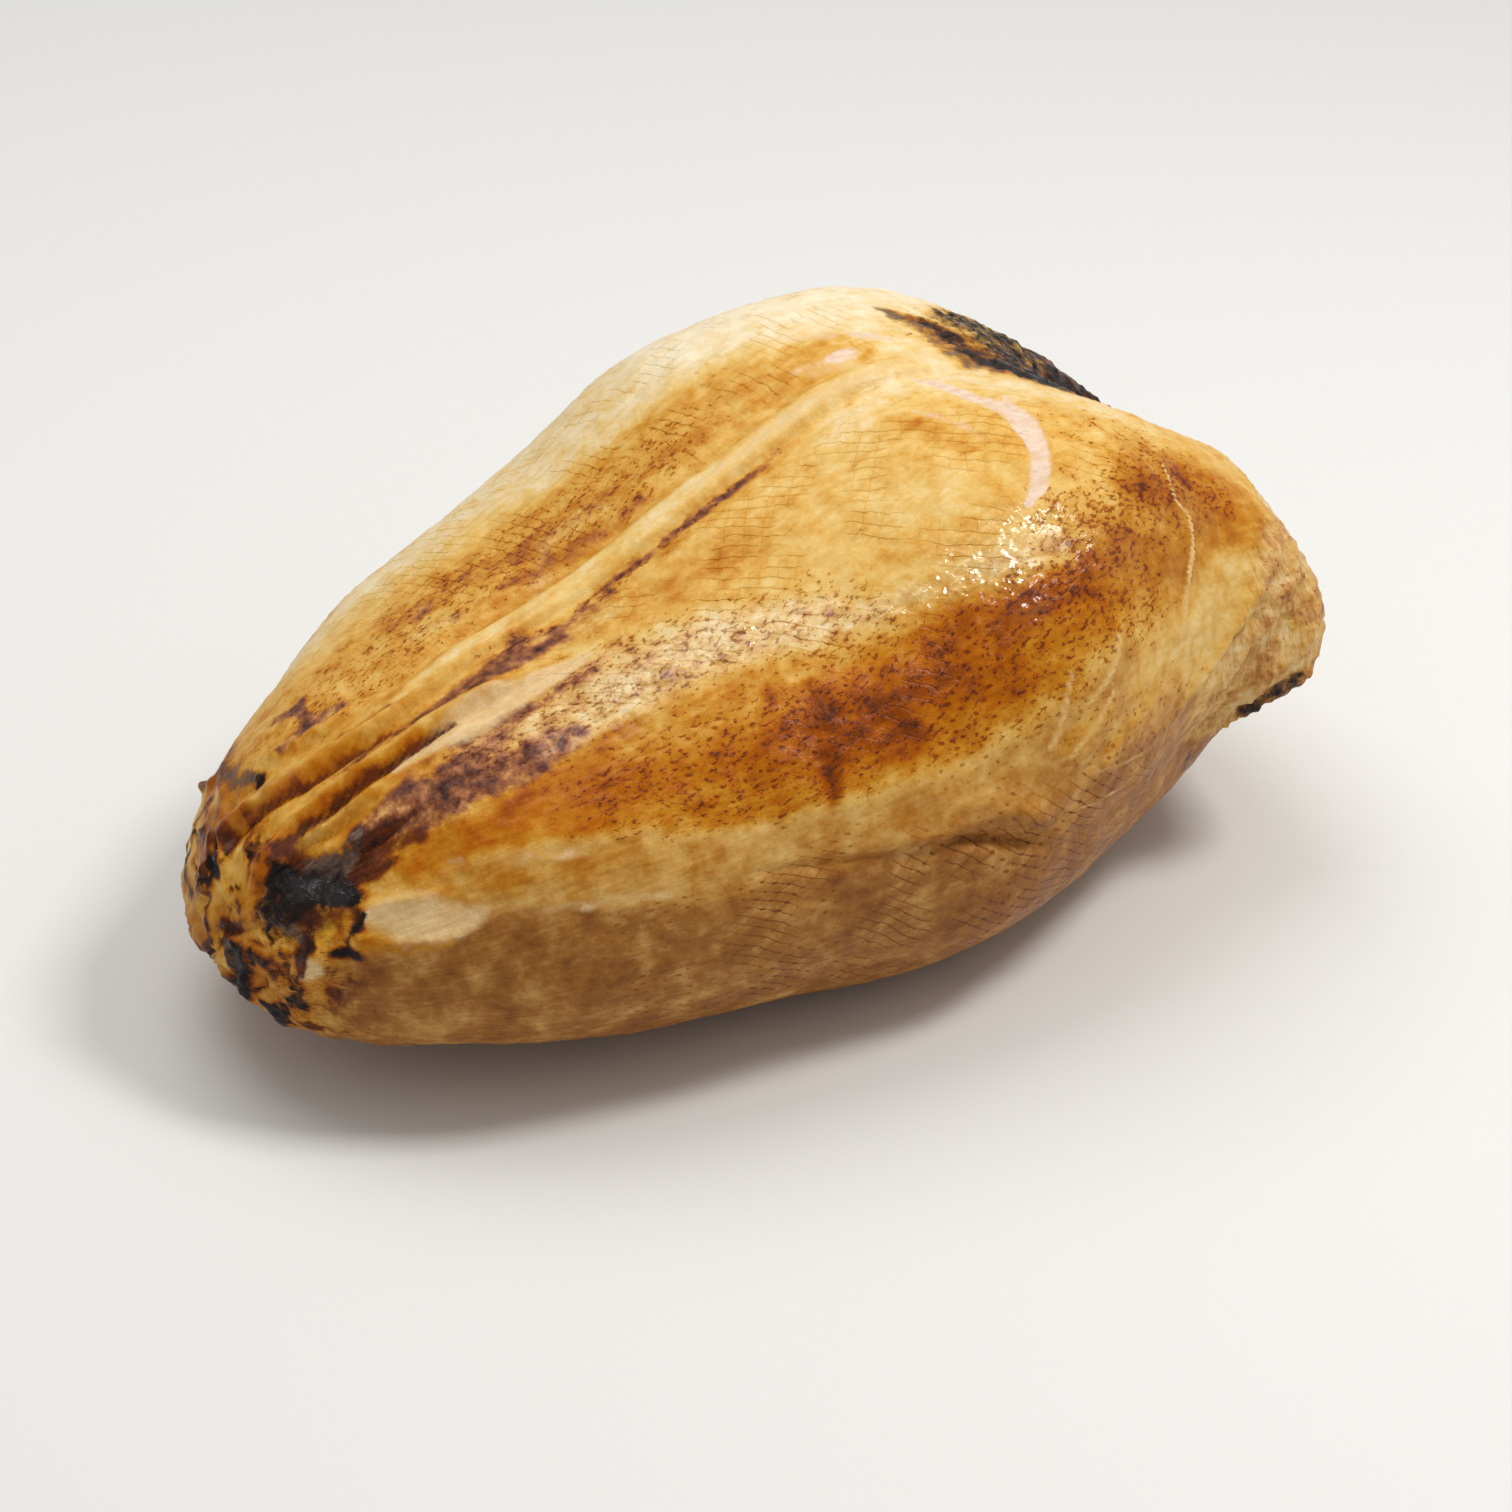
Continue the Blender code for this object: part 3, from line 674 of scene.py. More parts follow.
        (stroke, ((0.94, 50, 14), (0.97, 20, 14), (0.98, -40, 14)), 0.9, 0.7, 1.8),
    ),
    # wet, bubbled fat that catches the light
    "wet": (
        (stroke, ((0.29, 28, 4), (0.33, 29, 5.5), (0.37, 30, 5.5), (0.42, 32, 4),
            (0.46, 34, 2.5)), 0.9, 1, 2),
        (stroke, ((0.49, 41, 3), (0.515, 42, 4), (0.545, 44, 4)), 0.9, 1, 1.6),
        (stroke, ((0.56, 42, 5), (0.58, 46, 6), (0.59, 51, 5), (0.60, 54, 2.5)), 0.9, 1, 2),
        (stroke, ((0.60, 40, 3), (0.63, 41, 4), (0.65, 44, 3)), 0.9, 0.8, 1.2),
        (stroke, ((0.22, 32, 2.5), (0.26, 32, 3), (0.30, 34, 3)), 0.9, 0.6, 2),
        (stroke, ((0.66, 52, 5), (0.70, 54, 6)), 0.9, 0.5, 1.6),
        (stroke, ((0.038, 28, 2.5), (0.052, 33, 3), (0.055, 40, 2)), 0.7, 0.6, 0.8),
        (stroke, ((0.045, 12, 1.6), (0.062, 15, 1.6), (0.075, 17, 1.6), (0.10, 18, 1.2)), 0.8, 0.7, 0.6),
        (stroke, ((0.065, -6, 2), (0.085, -2, 2)), 0.9, 0.5, 0.6),
        (stroke, ((0.24, 2, 1.5), (0.30, 1, 1.8), (0.36, -14, 2), (0.41, -12, 2)), 0.9, 0.5, 1),
    ),
    # how thickly the skin is dotted with scorched specks
    "specks": (
        (band, ((0.12, -26, -5), (0.25, -30, -5), (0.34, -27, -5), (0.44, -21, -4),
            (0.52, -16, -5)), 10, 0.75, 4),
        (stroke, ((0.24, -70, 9), (0.36, -75, 13), (0.50, -78, 13), (0.62, -78, 10)), 0.9, 0.7, 3),
        (stroke, ((0.74, -70, 9), (0.82, -66, 12)), 0.9, 0.8, 3),
        (band, ((0.15, 19, 30), (0.25, 19, 34), (0.33, 16, 36), (0.39, 20, 40), (0.44, 26, 44),
            (0.50, 34, 48)), 8, 0.8, 3),
        (band, ((0.20, 36, 56), (0.30, 38, 62), (0.36, 40, 66), (0.45, 44, 70), (0.54, 46, 72),
            (0.62, 46, 70), (0.70, 46, 66)),
         10, 0.75, 3),
        (stroke, ((0.66, 44, 9), (0.71, 48, 12), (0.76, 48, 13), (0.80, 46, 11),
            (0.84, 48, 8)), 0.9, 1, 2.4),
        (stroke, ((0.60, 50, 7), (0.66, 60, 9), (0.70, 62, 9)), 0.9, 0.8, 2.4),
        (stroke, ((0.70, 26, 10), (0.74, 32, 12), (0.80, 32, 10)), 0.9, 0.5, 2.4),
        (stroke, ((0.60, 74, 9), (0.68, 80, 12), (0.76, 84, 10)), 0.9, 0.55, 2.4),
        (stroke, ((0.24, 5, 2.4), (0.30, 6, 3), (0.36, 6, 2.4), (0.46, 5, 1.6),
            (0.54, 4, 1)), 0.9, 0.9, 1),
        (stroke, ((0.88, 70, 10), (0.89, 86, 10)), 0.9, 0.5, 2.4),
        (stroke, ((0.72, -10, 6), (0.76, -16, 8)), 0.9, 0.7, 2),
        (stroke, ((0.07, -22, 8), (0.10, -24, 8)), 0.9, 0.5, 2),
        (stroke, ((0.03, 30, 10), (0.02, 90, 12)), 0.9, 0.7, 2),
    ),
    # rows of feather follicles
    "follicle": (
        (band, ((0.20, 74, 124), (0.30, 74, 124), (0.45, 78, 124), (0.58, 80, 124), (0.70, 84, 124),
            (0.80, 92, 124)),
         12, 1, 3),
        (band, ((0.30, 64, 80), (0.45, 68, 84), (0.58, 66, 86), (0.66, 68, 86)), 10, 0.7, 3),
        (band, ((0.15, -135, -58), (0.50, -135, -56), (0.85, -135, -58)), 18, 0.8, 3),
        (band, ((0.26, 38, 60), (0.36, 40, 66), (0.45, 44, 69), (0.60, 46, 68)), 10, 0.85, 3),
        (band, ((0.25, -30, -8), (0.45, -26, -6), (0.60, -20, -5)), 12, 0.5, 3),
    ),
    # net of fine creases
    "net": (
        (band, ((0.20, -80, -8), (0.40, -78, -6), (0.60, -74, -3), (0.72, -66, -6)), 14, 0.9, 3),
        (band, ((0.22, 18, 30), (0.34, 6, 34), (0.45, 6, 44), (0.60, 6, 48), (0.70, 12, 48),
            (0.80, 26, 46)), 10, 0.9, 3),
        (band, ((0.30, 76, 124), (0.45, 80, 124), (0.60, 84, 124), (0.74, 88, 124)), 12, 0.8, 3),
        (band, ((0.30, -124, -80), (0.60, -124, -80), (0.80, -124, -80)), 16, 0.6, 3),
        (band, ((0.36, 44, 66), (0.50, 48, 68), (0.62, 50, 64)), 12, 0.35, 3),
    ),
}


# ---------------------------------------------------------------- relief of the skin
# A fold is (line, height, half-width, depth and half-width of the crease under its lip).
FOLDS = (
    (((0.275, 14.5), (0.22, 13), (0.17, 12.2), (0.125, 12.2), (0.088, 10.8), (0.061, 10),
        (0.040, 9.5), (0.027, 11),
      (0.012, 15)), 2.2, 2.4, 1.5, 1.3),
    (((0.19, 3.5), (0.150, 3.2), (0.114, 1.8), (0.086, -1), (0.062, -6), (0.047, -12), (0.036, -18),
        (0.026, -14), (0.018, -2)),
     2.1, 2.3, 1.4, 1.3),
    (((0.130, 18), (0.10, 18.5), (0.075, 18), (0.055, 14.5), (0.040, 13), (0.026, 17)), 1.2, 1.5, 1, 0.8),
    (((0.12, 27), (0.095, 27), (0.07, 26), (0.055, 24)), 1.2, 1.8, 1.2, 1),
    (((0.62, 84), (0.575, 89), (0.535, 86), (0.50, 84), (0.46, 84.5), (0.40, 82)), 0.9, 3, 0.9, 1.3),
    (((0.16, -6), (0.12, -8), (0.09, -14), (0.07, -22)), 0.9, 1.8, 0.8, 1),
)
# A ridge or groove is (line, height, half-width).
RIDGES = (
    (((0.795, 42), (0.783, 49), (0.793, 52), (0.780, 58), (0.767, 61), (0.755, 66)), 0.4, 0.9),
    (((0.02, -8), (0.010, 5)), 0.9, 0.8),
    (((0.085, -44), (0.060, -36), (0.052, -30), (0.040, -26), (0.025, -24), (0.014, -26)), 1.2, 1.6),
    (((0.040, 49), (0.036, 53)), 1.3, 2.2),
    (((0.028, 66), (0.024, 70)), 1.1, 2.4),
    (((0.061, 42.5), (0.062, 43.5)), 1.1, 1.4),
    (((0.059, -8), (0.060, -7.5)), 1.2, 2),
    (((0.003, 75), (0.006, 130)), 1.6, 3),
    (((0.020, -28), (0.010, -28)), 1.6, 2),
    (((0.005, 2), (0.005, 8)), 1.8, 3),
    (((0.068, -66), (0.066, -61)), 3, 1.7),
    (((0.061, 50), (0.072, 48), (0.10, 52)), 0.9, 1.2),
    (((0.057, 59), (0.076, 64), (0.100, 67), (0.135, 66)), 0.7, 1.2),
    (((0.50, 80), (0.54, 84), (0.575, 90)), 1.2, 2.6),
    (((0.742, 85), (0.795, 80), (0.840, 71), (0.879, 62), (0.90, 52)), 1.3, 1.9),
    (((0.808, 91), (0.835, 81), (0.864, 72), (0.889, 66)), 1.2, 1.3),
    (((0.847, 102), (0.859, 87), (0.877, 84), (0.890, 76)), 1.7, 1.5),
    (((0.835, 108), (0.862, 103), (0.884, 94), (0.895, 86)), 2.4, 1.8),
    (((0.662, 5), (0.63, 2), (0.59, 1), (0.54, 1)), 0.5, 1.2),
)
GROOVES = (
    (((0.13, -4), (0.085, -9), (0.062, -16), (0.048, -24)), -1.3, 1.6),
    (((0.10, 30), (0.075, 32), (0.055, 30), (0.040, 27)), -1, 1.6),
    (((0.292, 76), (0.340, 79), (0.394, 83), (0.432, 85), (0.490, 87), (0.541, 92),
        (0.585, 97)), -1.2, 1.3),
    (((0.49, 87), (0.517, 89.5), (0.541, 92), (0.570, 95)), -1.6, 0.9),
    (((0.72, 74), (0.66, 80), (0.60, 84)), -0.8, 1.5),
    (((0.820, 90), (0.833, 86), (0.840, 82)), -1.8, 1.3),
    (((0.395, 55), (0.393, 62), (0.388, 69)), -0.7, 1.1),
    (((0.012, -16), (0.008, -22), (0.009, -34)), -1.6, 0.9),
    (((0.001, -8), (0.007, 26), (0.015, 34)), -1.6, 0.9),
    (((0.050, 47), (0.056, 50), (0.050, 55)), -1, 1),
    (((0.012, -10), (0.008, 0), (0.002, 30)), -1, 0.8),
    (((0.66, 5), (0.70, 4), (0.75, 2)), -0.8, 1.8),
    (((0.15, 21), (0.20, 21), (0.25, 21)), -0.7, 1.2),
    (((0.79, 85), (0.82, 80), (0.852, 72), (0.884, 63)), -1.1, 1.3),
    (((0.832, 96), (0.848, 83), (0.870, 77), (0.895, 68)), -1.4, 1.4),
)
KEEL_STRIP = ((0.08, -0.5), (0.20, 1), (0.30, 0.2), (0.45, 0.6), (0.60, 0.2), (0.70, 0.4))
KEEL_STRIP_HALF_WIDTH = 3.6
CREASE_SPACING_MM = 3.1     # between the skin's slanting creases
CREASE_SLANT = 0.78         # their angle from the crown's length, in radians


def beside(skin, line, reach):
    """Distance across the line, positive to the right, and a fade from its ends, from 0 to 1."""
    points, _ = route([(t, a, 1.0) for t, a in line], 1.0)
    places = skin.plain + 0.22 * skin.warp
    distance, _, step = nearest_on(places, points, np.ones(len(points)), reach)
    tangent = np.gradient(points, axis=0)
    if tangent[:, 0].sum() < 0.0:
        tangent = -tangent
    side = np.cross(tangent[step], skin.normal)
    side /= np.linalg.norm(side, axis=1)[:, None]
    across = (side * (places - points[step])).sum(axis=1)
    ends = np.minimum(step, len(points) - 1 - step) / (0.2 * len(points) + 1.0)
    across = np.where(distance < 2.0 * reach, across, 1e6)
    return across, smooth(-0.05, 1.0, np.clip(ends, 0.0, 1.0))


def fold_relief(skin, fold):
    """A pleat: a soft rise to a lip, with a steep crease on its right."""
    line, height, half_width, depth, crease = fold
    across, fade = beside(skin, line, 3.5 * half_width)
    left = np.exp(-(np.minimum(across, 0.0) / half_width) ** 2)
    right = np.exp(-(np.maximum(across, 0.0) / (0.75 * half_width)) ** 2)
    under = np.exp(-((across - 0.8 * half_width - crease) / crease) ** 2)
    beads = 1.0 + 0.25 * noise(skin.plain, 5.0, 191)
    near = np.abs(across) < 3.4 * half_width
    return np.where(near, fade * (height * beads * left * right - depth * under), 0.0)


def profile(skin, line, half_width):
    """A rounded profile beside the line, from 0 to 1."""
    across, fade = beside(skin, line, 3.2 * half_width)
    return np.exp(-(across / half_width) ** 2) * (0.3 + 0.7 * fade)


def broad_relief(skin):
    """The swellings, hollows and lumps that the solid has too."""
    height = np.zeros(len(skin.station))
    for at_station, at_degrees, spread, spread_degrees, size in SWELLINGS:
        turn = (skin.degrees - at_degrees + 180.0) % 360.0 - 180.0
        away = ((skin.station - at_station) / spread) ** 2 + (turn / spread_degrees) ** 2
        height += size * np.exp(-away)
    for along, around, phase, size in LUMPS:
        wave = np.sin(2.0 * np.pi * along * skin.station + phase)
        height += size * wave * np.cos(around * skin.angle + phase)
    return height


def keel_relief(skin):
    """The breastbone: a flat strip between two shallow channels, with steep edges."""
    across, _ = beside(skin, KEEL_STRIP, 24.0)
    distance = np.abs(across)
    strip = smooth(KEEL_STRIP_HALF_WIDTH + 1.3, KEEL_STRIP_HALF_WIDTH - 0.8, distance)
    channel = np.exp(-((distance - 7.0) / 3.4) ** 2)
    edge = np.exp(-((across - KEEL_STRIP_HALF_WIDTH - 1.2) / 0.9) ** 2)
    fade = smooth(0.10, 0.20, skin.station) * smooth(0.78, 0.62, skin.station)
    return fade * (0.9 * strip - 0.9 * channel - 0.6 * edge)


def crease_lattice(skin):
    """Coordinates that count the skin's two families of creases: slanting on the right breast,
    and across and along on the left one."""
    u = skin.along + 1.6 * skin.warp[:, 0]
    v = skin.around + 1.6 * skin.warp[:, 1]
    slant = np.where(skin.degrees < 0.0, 1.45, CREASE_SLANT)
    first = (u * np.sin(slant) - v * np.cos(slant)) / CREASE_SPACING_MM
    second = (u * np.sin(slant) + v * np.cos(slant)) / CREASE_SPACING_MM
    second = np.where(skin.degrees < 0.0, 0.6 * v / CREASE_SPACING_MM, 0.7 * second)
    return np.stack([first, second, np.zeros(len(u))], axis=1)


def fine_relief(skin, mask, lattice):
    """Wrinkles, blisters, scales, tears and fibres, in millimetres."""
    plain = skin.plain
    height = 0.50 * rough_noise(plain, 17.0, 101, 3)
    height += 0.18 * rough_noise(plain, 5.0, 111, 3)
    crust = np.clip(mask["char_and_slit_shade"] + 0.7 * mask["ash"] + 0.7 * mask["red"] + 0.6 * mask["plum"], 0.0, 1.0)
    height += crust * (0.75 * np.abs(rough_noise(plain, 4.5, 121, 3)) - 0.25)
    tail = smooth(0.11, 0.03, skin.station)
    height += tail * (0.9 * rough_noise(plain, 8.0, 131, 3) + 0.5 * mask["char_and_slit_shade"])
    height += mask["char_and_slit_shade"] * 0.7 * rough_noise(plain, 3.6, 136, 2) - 0.9 * mask["crack"]
    grain = np.stack([skin.along / 9.0, skin.around / 2.2, plain[:, 2] / 9.0], axis=1)
    height += 0.16 * (1.0 - mask["fibre"]) * rough_noise(grain, 1.0, 141, 2)
    fibres = np.stack([skin.along / 2.2, skin.around / 9.0, plain[:, 2] / 9.0], axis=1)
    height += 1.1 * mask["fibre"] * (0.5 - np.abs(noise(fibres, 1.0, 151)) + 0.4 * noise(plain, 2.6, 152))
    scales = np.cos(2.0 * np.pi * lattice[:, 0]) * np.cos(2.0 * np.pi * lattice[:, 1])
    height -= 0.10 * np.maximum(mask["net"], mask["follicle"]) * scales
    along = skin.along + 2.0 * skin.warp[:, 0]
    around = skin.around + 2.0 * skin.warp[:, 1]
    blister, own = dot_lattice(along, around, 3.0, 0.42, 171)
    height += 0.45 * mask["specks"] * smooth(0.60, 0.80, own) * smooth(1.4, 0.2, blister)
    along = skin.along + skin.warp[:, 2]
    around = skin.around + skin.warp[:, 0]
    bubble, own = dot_lattice(along, around, 2.4, 0.42, 181)
    height += 0.50 * mask["wet"] * smooth(0.25, 0.6, own) * smooth(1.2, 0.1, bubble)
    height -= 0.6 * mask["tear"] - 0.25 * mask["scar"]
    return height


def lay_skin(skin, mask, lattice):
    """Lift the plain crown by all of its relief, press the underside flat and set it on the frame."""
    solid = skin.plain + skin.normal * broad_relief(skin)[:, None]
    height = keel_relief(skin) + fine_relief(skin, mask, lattice)
    for fold in FOLDS:
        height += fold_relief(skin, fold)
    for line, size, half_width in RIDGES + GROOVES:
        height += size * profile(skin, line, half_width)
    write_points(skin.mesh, solid)
    points = solid + point_normals(skin.mesh) * height[:, None]
    points[:, 2] = press_flat(points[:, 2])
    flat = solid.copy()
    flat[:, 2] = press_flat(flat[:, 2])
    low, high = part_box(NODE)
    centre = 0.5 * (flat.min(axis=0) + flat.max(axis=0))
    target = 0.5 * (np.array(low) + np.array(high)) / MM
    points[:, :2] += target[:2] - centre[:2]
    write_points(skin.mesh, points * MM)


# ---------------------------------------------------------------- browning
def brown_skin(skin):
    """Paint the layers over the plain skin: depth of browning, share of tan and share of plum."""
    count = len(skin.station)
    level = np.full(count, PLAIN_BROWNING)
    tan = np.zeros(count)
    plum = np.zeros(count)
    for depth, tan_share, plum_share, marks in LAYERS:
        cover = gather(skin, marks)
        level += cover * (depth - level)
        tan += cover * (tan_share - tan)
        plum += cover * (plum_share - plum)
    streaks = np.stack([skin.along / 16.0, skin.around / 3.4, skin.plain[:, 2] / 16.0], axis=1)
    level += (0.050 + 0.045 * tan) * rough_noise(skin.plain, 13.0, 201, 4, 0.65)
    level += 0.035 * (0.3 + 1.3 * level) * rough_noise(streaks, 1.0, 211, 3, 0.7)
    level += 0.045 * rough_noise(skin.plain, 6.0, 216, 3, 0.75)
    plum_noise = rough_noise(skin.plain, 5.0, 221, 3, 0.7)
    level += 0.22 * plum * plum_noise
    return {"level": level, "tan": tan, "plum": np.clip(plum * (1.0 + 0.5 * plum_noise), 0.0, 1.0)}


def scorch_tail(skin, mask):
    """Char and dark red in the cracks of the tail end and in clumps round it."""
    tail = smooth(0.062, 0.018, skin.station + 0.008 * skin.warp[:, 1])
    cracks = smooth(0.16, 0.01, np.abs(rough_noise(skin.plain, 12.0, 251, 3)))
    clumps = smooth(0.18, 0.66, rough_noise(skin.plain, 8.0, 261, 4, 0.6))
    mask["char_and_slit_shade"] = np.maximum(mask["char_and_slit_shade"], tail * np.maximum(0.6 * cracks, 0.9 * clumps))
    stains = smooth(0.20, 0.60, rough_noise(skin.plain, 9.0, 271, 3))
    mask["red"] = np.maximum(mask["red"], tail * stains)
    mask["crack"] = tail * cracks
    burnt = np.maximum(mask["char_and_slit_shade"], np.maximum(0.8 * mask["red"], 0.6 * mask["ash"]))
    mask["level"] += 0.22 * smooth(0.05, 0.6, burnt) * (1.0 + 0.6 * noise(skin.plain, 4.0, 281))


# ---------------------------------------------------------------- materials
def paint(red, green, blue):
    """A colour given as screen values from 0 to 255, as the shader wants it."""
    shares = [value / 255.0 for value in (red, green, blue)]
    return tuple(s / 12.92 if s <= 0.04045 else ((s + 0.055) / 1.055) ** 2.4 for s in shares) + (1.0,)


class Shader:
    """Short calls for building one material's nodes."""

    def __init__(self, name):
        self.material = bpy.data.materials.new(name)
        self.material.use_nodes = True
        self.nodes = self.material.node_tree.nodes
        self.links = self.material.node_tree.links
        self.surface = self.nodes["Principled BSDF"]

    def put(self, socket, value):
        """Link a socket to another, or set it to a value."""
        if isinstance(value, bpy.types.NodeSocket):
            self.links.new(value, socket)
        else:
            socket.default_value = value

    def attribute(self, name, vector=False):
        """A mask or vector stored on the mesh."""
        node = self.nodes.new("ShaderNodeAttribute")
        node.attribute_name = name
        return node.outputs["Vector" if vector else "Fac"]

    def place(self):
        """Object coordinates, in metres."""
        return self.nodes.new("ShaderNodeTexCoord").outputs["Object"]

    def stretch(self, vector, scale, turn=0.0):
        """A vector scaled on each axis and turned about Z."""
        node = self.nodes.new("ShaderNodeMapping")
        node.inputs["Scale"].default_value = scale
        node.inputs["Rotation"].default_value[2] = turn
        self.put(node.inputs["Vector"], vector)
        return node.outputs["Vector"]

    def noise(self, vector, scale, detail=2.0, rough=0.6):
        """Noise around 0, from about -0.5 to 0.5."""
        node = self.nodes.new("ShaderNodeTexNoise")
        node.inputs["Scale"].default_value = scale
        node.inputs["Detail"].default_value = detail
        node.inputs["Roughness"].default_value = rough
        self.put(node.inputs["Vector"], vector)
        return self.math("SUBTRACT", node.outputs["Fac"], 0.5)

    def math(self, operation, first, second=0.0):
        """One sum of two values."""
        node = self.nodes.new("ShaderNodeMath")
        node.operation = operation
        self.put(node.inputs[0], first)
        self.put(node.inputs[1], second)
        return node.outputs[0]

    def add(self, *parts):
        """The sum of values, or of (value, factor) pairs."""
        total = None
        for part in parts:
            value = self.math("MULTIPLY", *part) if isinstance(part, tuple) else part
            total = value if total is None else self.math("ADD", total, value)
        return total

    def step(self, value, low, high):
        """0 below low, 1 above high, with a soft step between; low may be above high."""
        node = self.nodes.new("ShaderNodeMapRange")
        node.interpolation_type = "SMOOTHSTEP"
        node.inputs["From Min"].default_value = min(low, high)
        node.inputs["From Max"].default_value = max(low, high)
        node.inputs["To Min"].default_value = 0.0 if low < high else 1.0
        node.inputs["To Max"].default_value = 1.0 if low < high else 0.0
        self.put(node.inputs["Value"], value)
        return node.outputs["Result"]

    def mix(self, share, first, second):
        """One colour laid over another."""
        node = self.nodes.new("ShaderNodeMix")
        node.data_type = "RGBA"
        self.put(node.inputs["Factor"], share)
        self.put([i for i in node.inputs if i.name == "A" and i.type == "RGBA"][0], first)
        self.put([i for i in node.inputs if i.name == "B" and i.type == "RGBA"][0], second)
        return [o for o in node.outputs if o.type == "RGBA"][0]

    def blend(self, share, first, second):
        """One value laid over another."""
        node = self.nodes.new("ShaderNodeMix")
        node.data_type = "FLOAT"
        self.put(node.inputs["Factor"], share)
        self.put(node.inputs["A"], first)
        self.put(node.inputs["B"], second)
        return node.outputs["Result"]

    def bump(self, height):
        """The normal of a surface with this height, in millimetres."""
        node = self.nodes.new("ShaderNodeBump")
        node.inputs["Distance"].default_value = MM
        node.inputs["Strength"].default_value = 1.0
        self.put(node.inputs["Height"], height)
        return node.outputs["Normal"]

    def ramp(self, value, stops):
        """The colour at a value between the stops."""
        node = self.nodes.new("ShaderNodeValToRGB")
        elements = node.color_ramp.elements
        while len(elements) < len(stops):
            elements.new(0.5)
        for element, (position, colour) in zip(elements, stops):
            element.position = position
            element.color = paint(*colour)
        self.put(node.inputs["Fac"], value)
        return node.outputs["Color"]


# Colour by depth of browning, in the three kinds of skin.
GOLD_BROWNING = (
    (0.00, (240, 224, 190)), (0.12, (233, 209, 160)), (0.25, (226, 187, 108)), (0.37, (214, 161, 70)),
    (0.48, (196, 129, 26)), (0.59, (180, 99, 0)), (0.70, (150, 70, 0)), (0.84, (100, 42, 3)),
        (1.00, (50, 18, 4)))
TAN_BROWNING = (
    (0.00, (236, 214, 180)), (0.15, (216, 178, 124)), (0.30, (194, 145, 80)), (0.45, (160, 104, 44)),
    (0.60, (130, 76, 28)), (0.80, (92, 48, 18)), (1.00, (40, 20, 12)))
PLUM_BROWNING = (
    (0.00, (238, 214, 182)), (0.20, (222, 180, 128)), (0.35, (196, 142, 92)), (0.50, (156, 96, 56)),
    (0.65, (110, 60, 38)), (0.82, (66, 34, 28)), (1.00, (26, 13, 12)))
SPECK_COLOUR = (108, 42, 10)
# Overlays: mask, light and dark colour, how ragged the edge is.
COVERS = (
    ("cream", (230, 198, 146), (216, 176, 118), 0.9),
    ("scar", (232, 196, 130), (216, 168, 96), 0.8),
    ("tear", (230, 206, 184), (218, 184, 152), 1.0),
    ("fat", (232, 178, 56), (202, 132, 22), 0.8),
    # red also holds the painted shade in the creases under the fold lips
    ("red", (110, 50, 14), (46, 18, 8), 1.2),
    ("ash", (122, 98, 82), (46, 34, 28), 1.6),
    # char also holds a stroke of painted shade in the slit under the breast's overlapping skin
    ("char_and_slit_shade", (26, 12, 9), (5, 3, 3), 1.6),
)


def roast_colour(s, noises, scorched, lines, dots):
    """Browned by depth, then specked, then covered by cream, scars, tears, fat, red (with painted shade
    in the fold creases), ash and char (with painted shade in one slit).
    """
    blotch, streaks, wrinkles = noises
    tan = s.attribute("tan")
    plum = s.attribute("plum")
    level = s.add(s.attribute("level"), (blotch, 0.42), (streaks, 0.17), (scorched, 0.17), (dots, 0.15),
                  (lines, 0.10), (s.math("MULTIPLY", plum, blotch), 0.6), (wrinkles, 0.55),
                  (s.math("MULTIPLY", tan, lines), 0.12))
    colour = s.ramp(level, GOLD_BROWNING)
    colour = s.mix(tan, colour, s.ramp(level, TAN_BROWNING))
    colour = s.mix(s.step(s.add(plum, (blotch, 1.0)), 0.22, 0.85), colour, s.ramp(level, PLUM_BROWNING))
    spots = s.math("MAXIMUM", s.math("MULTIPLY", scorched, 0.45), s.math("MULTIPLY", dots, 0.4))
    colour = s.mix(spots, colour, paint(*SPECK_COLOUR))
    tone = s.step(s.add(streaks, blotch), -0.25, 0.25)
    for name, light, dark, ragged in COVERS:
        share = s.step(s.add(s.attribute(name), (blotch, ragged), (streaks, 0.2 * ragged)), 0.24, 0.84)
        colour = s.mix(share, colour, s.mix(tone, paint(*dark), paint(*light)))
    s.put(s.surface.inputs["Base Color"], colour)


def roast_gloss(s, blotch, streaks, drops, wet):
    """Satin skin, glossier where it is browned, under a coat of fat where it is wet, burnt or pale."""
    rough = s.blend(s.step(s.attribute("level"), 0.35, 0.6), 0.44, 0.30)
    rough = s.add(s.blend(wet, rough, 0.14), (blotch, 0.3))
    rough = s.blend(s.math("MULTIPLY", s.attribute("ash"), 0.8), rough, 0.55)
    s.put(s.surface.inputs["Roughness"], rough)
    char_and_slit_shade = s.attribute("char_and_slit_shade")
    wetness = s.add((drops, 1.5), (streaks, 0.2), (s.math("MULTIPLY", char_and_slit_shade, blotch), 1.2))
    s.put(s.surface.inputs["Coat Normal"], s.bump(wetness))
    pale = s.step(s.attribute("level"), 0.35, 0.15)
    s.put(s.surface.inputs["Coat Weight"], s.add((wet, 0.9), (char_and_slit_shade, 0.15), (pale, 0.08)))
    s.surface.inputs["Specular IOR Level"].default_value = 0.13
    s.surface.inputs["Coat Roughness"].default_value = 0.06
    s.surface.inputs["Subsurface Weight"].default_value = 0.08
    s.surface.inputs["Subsurface Radius"].default_value = (1.0, 0.45, 0.2)
    s.surface.inputs["Subsurface Scale"].default_value = 0.003


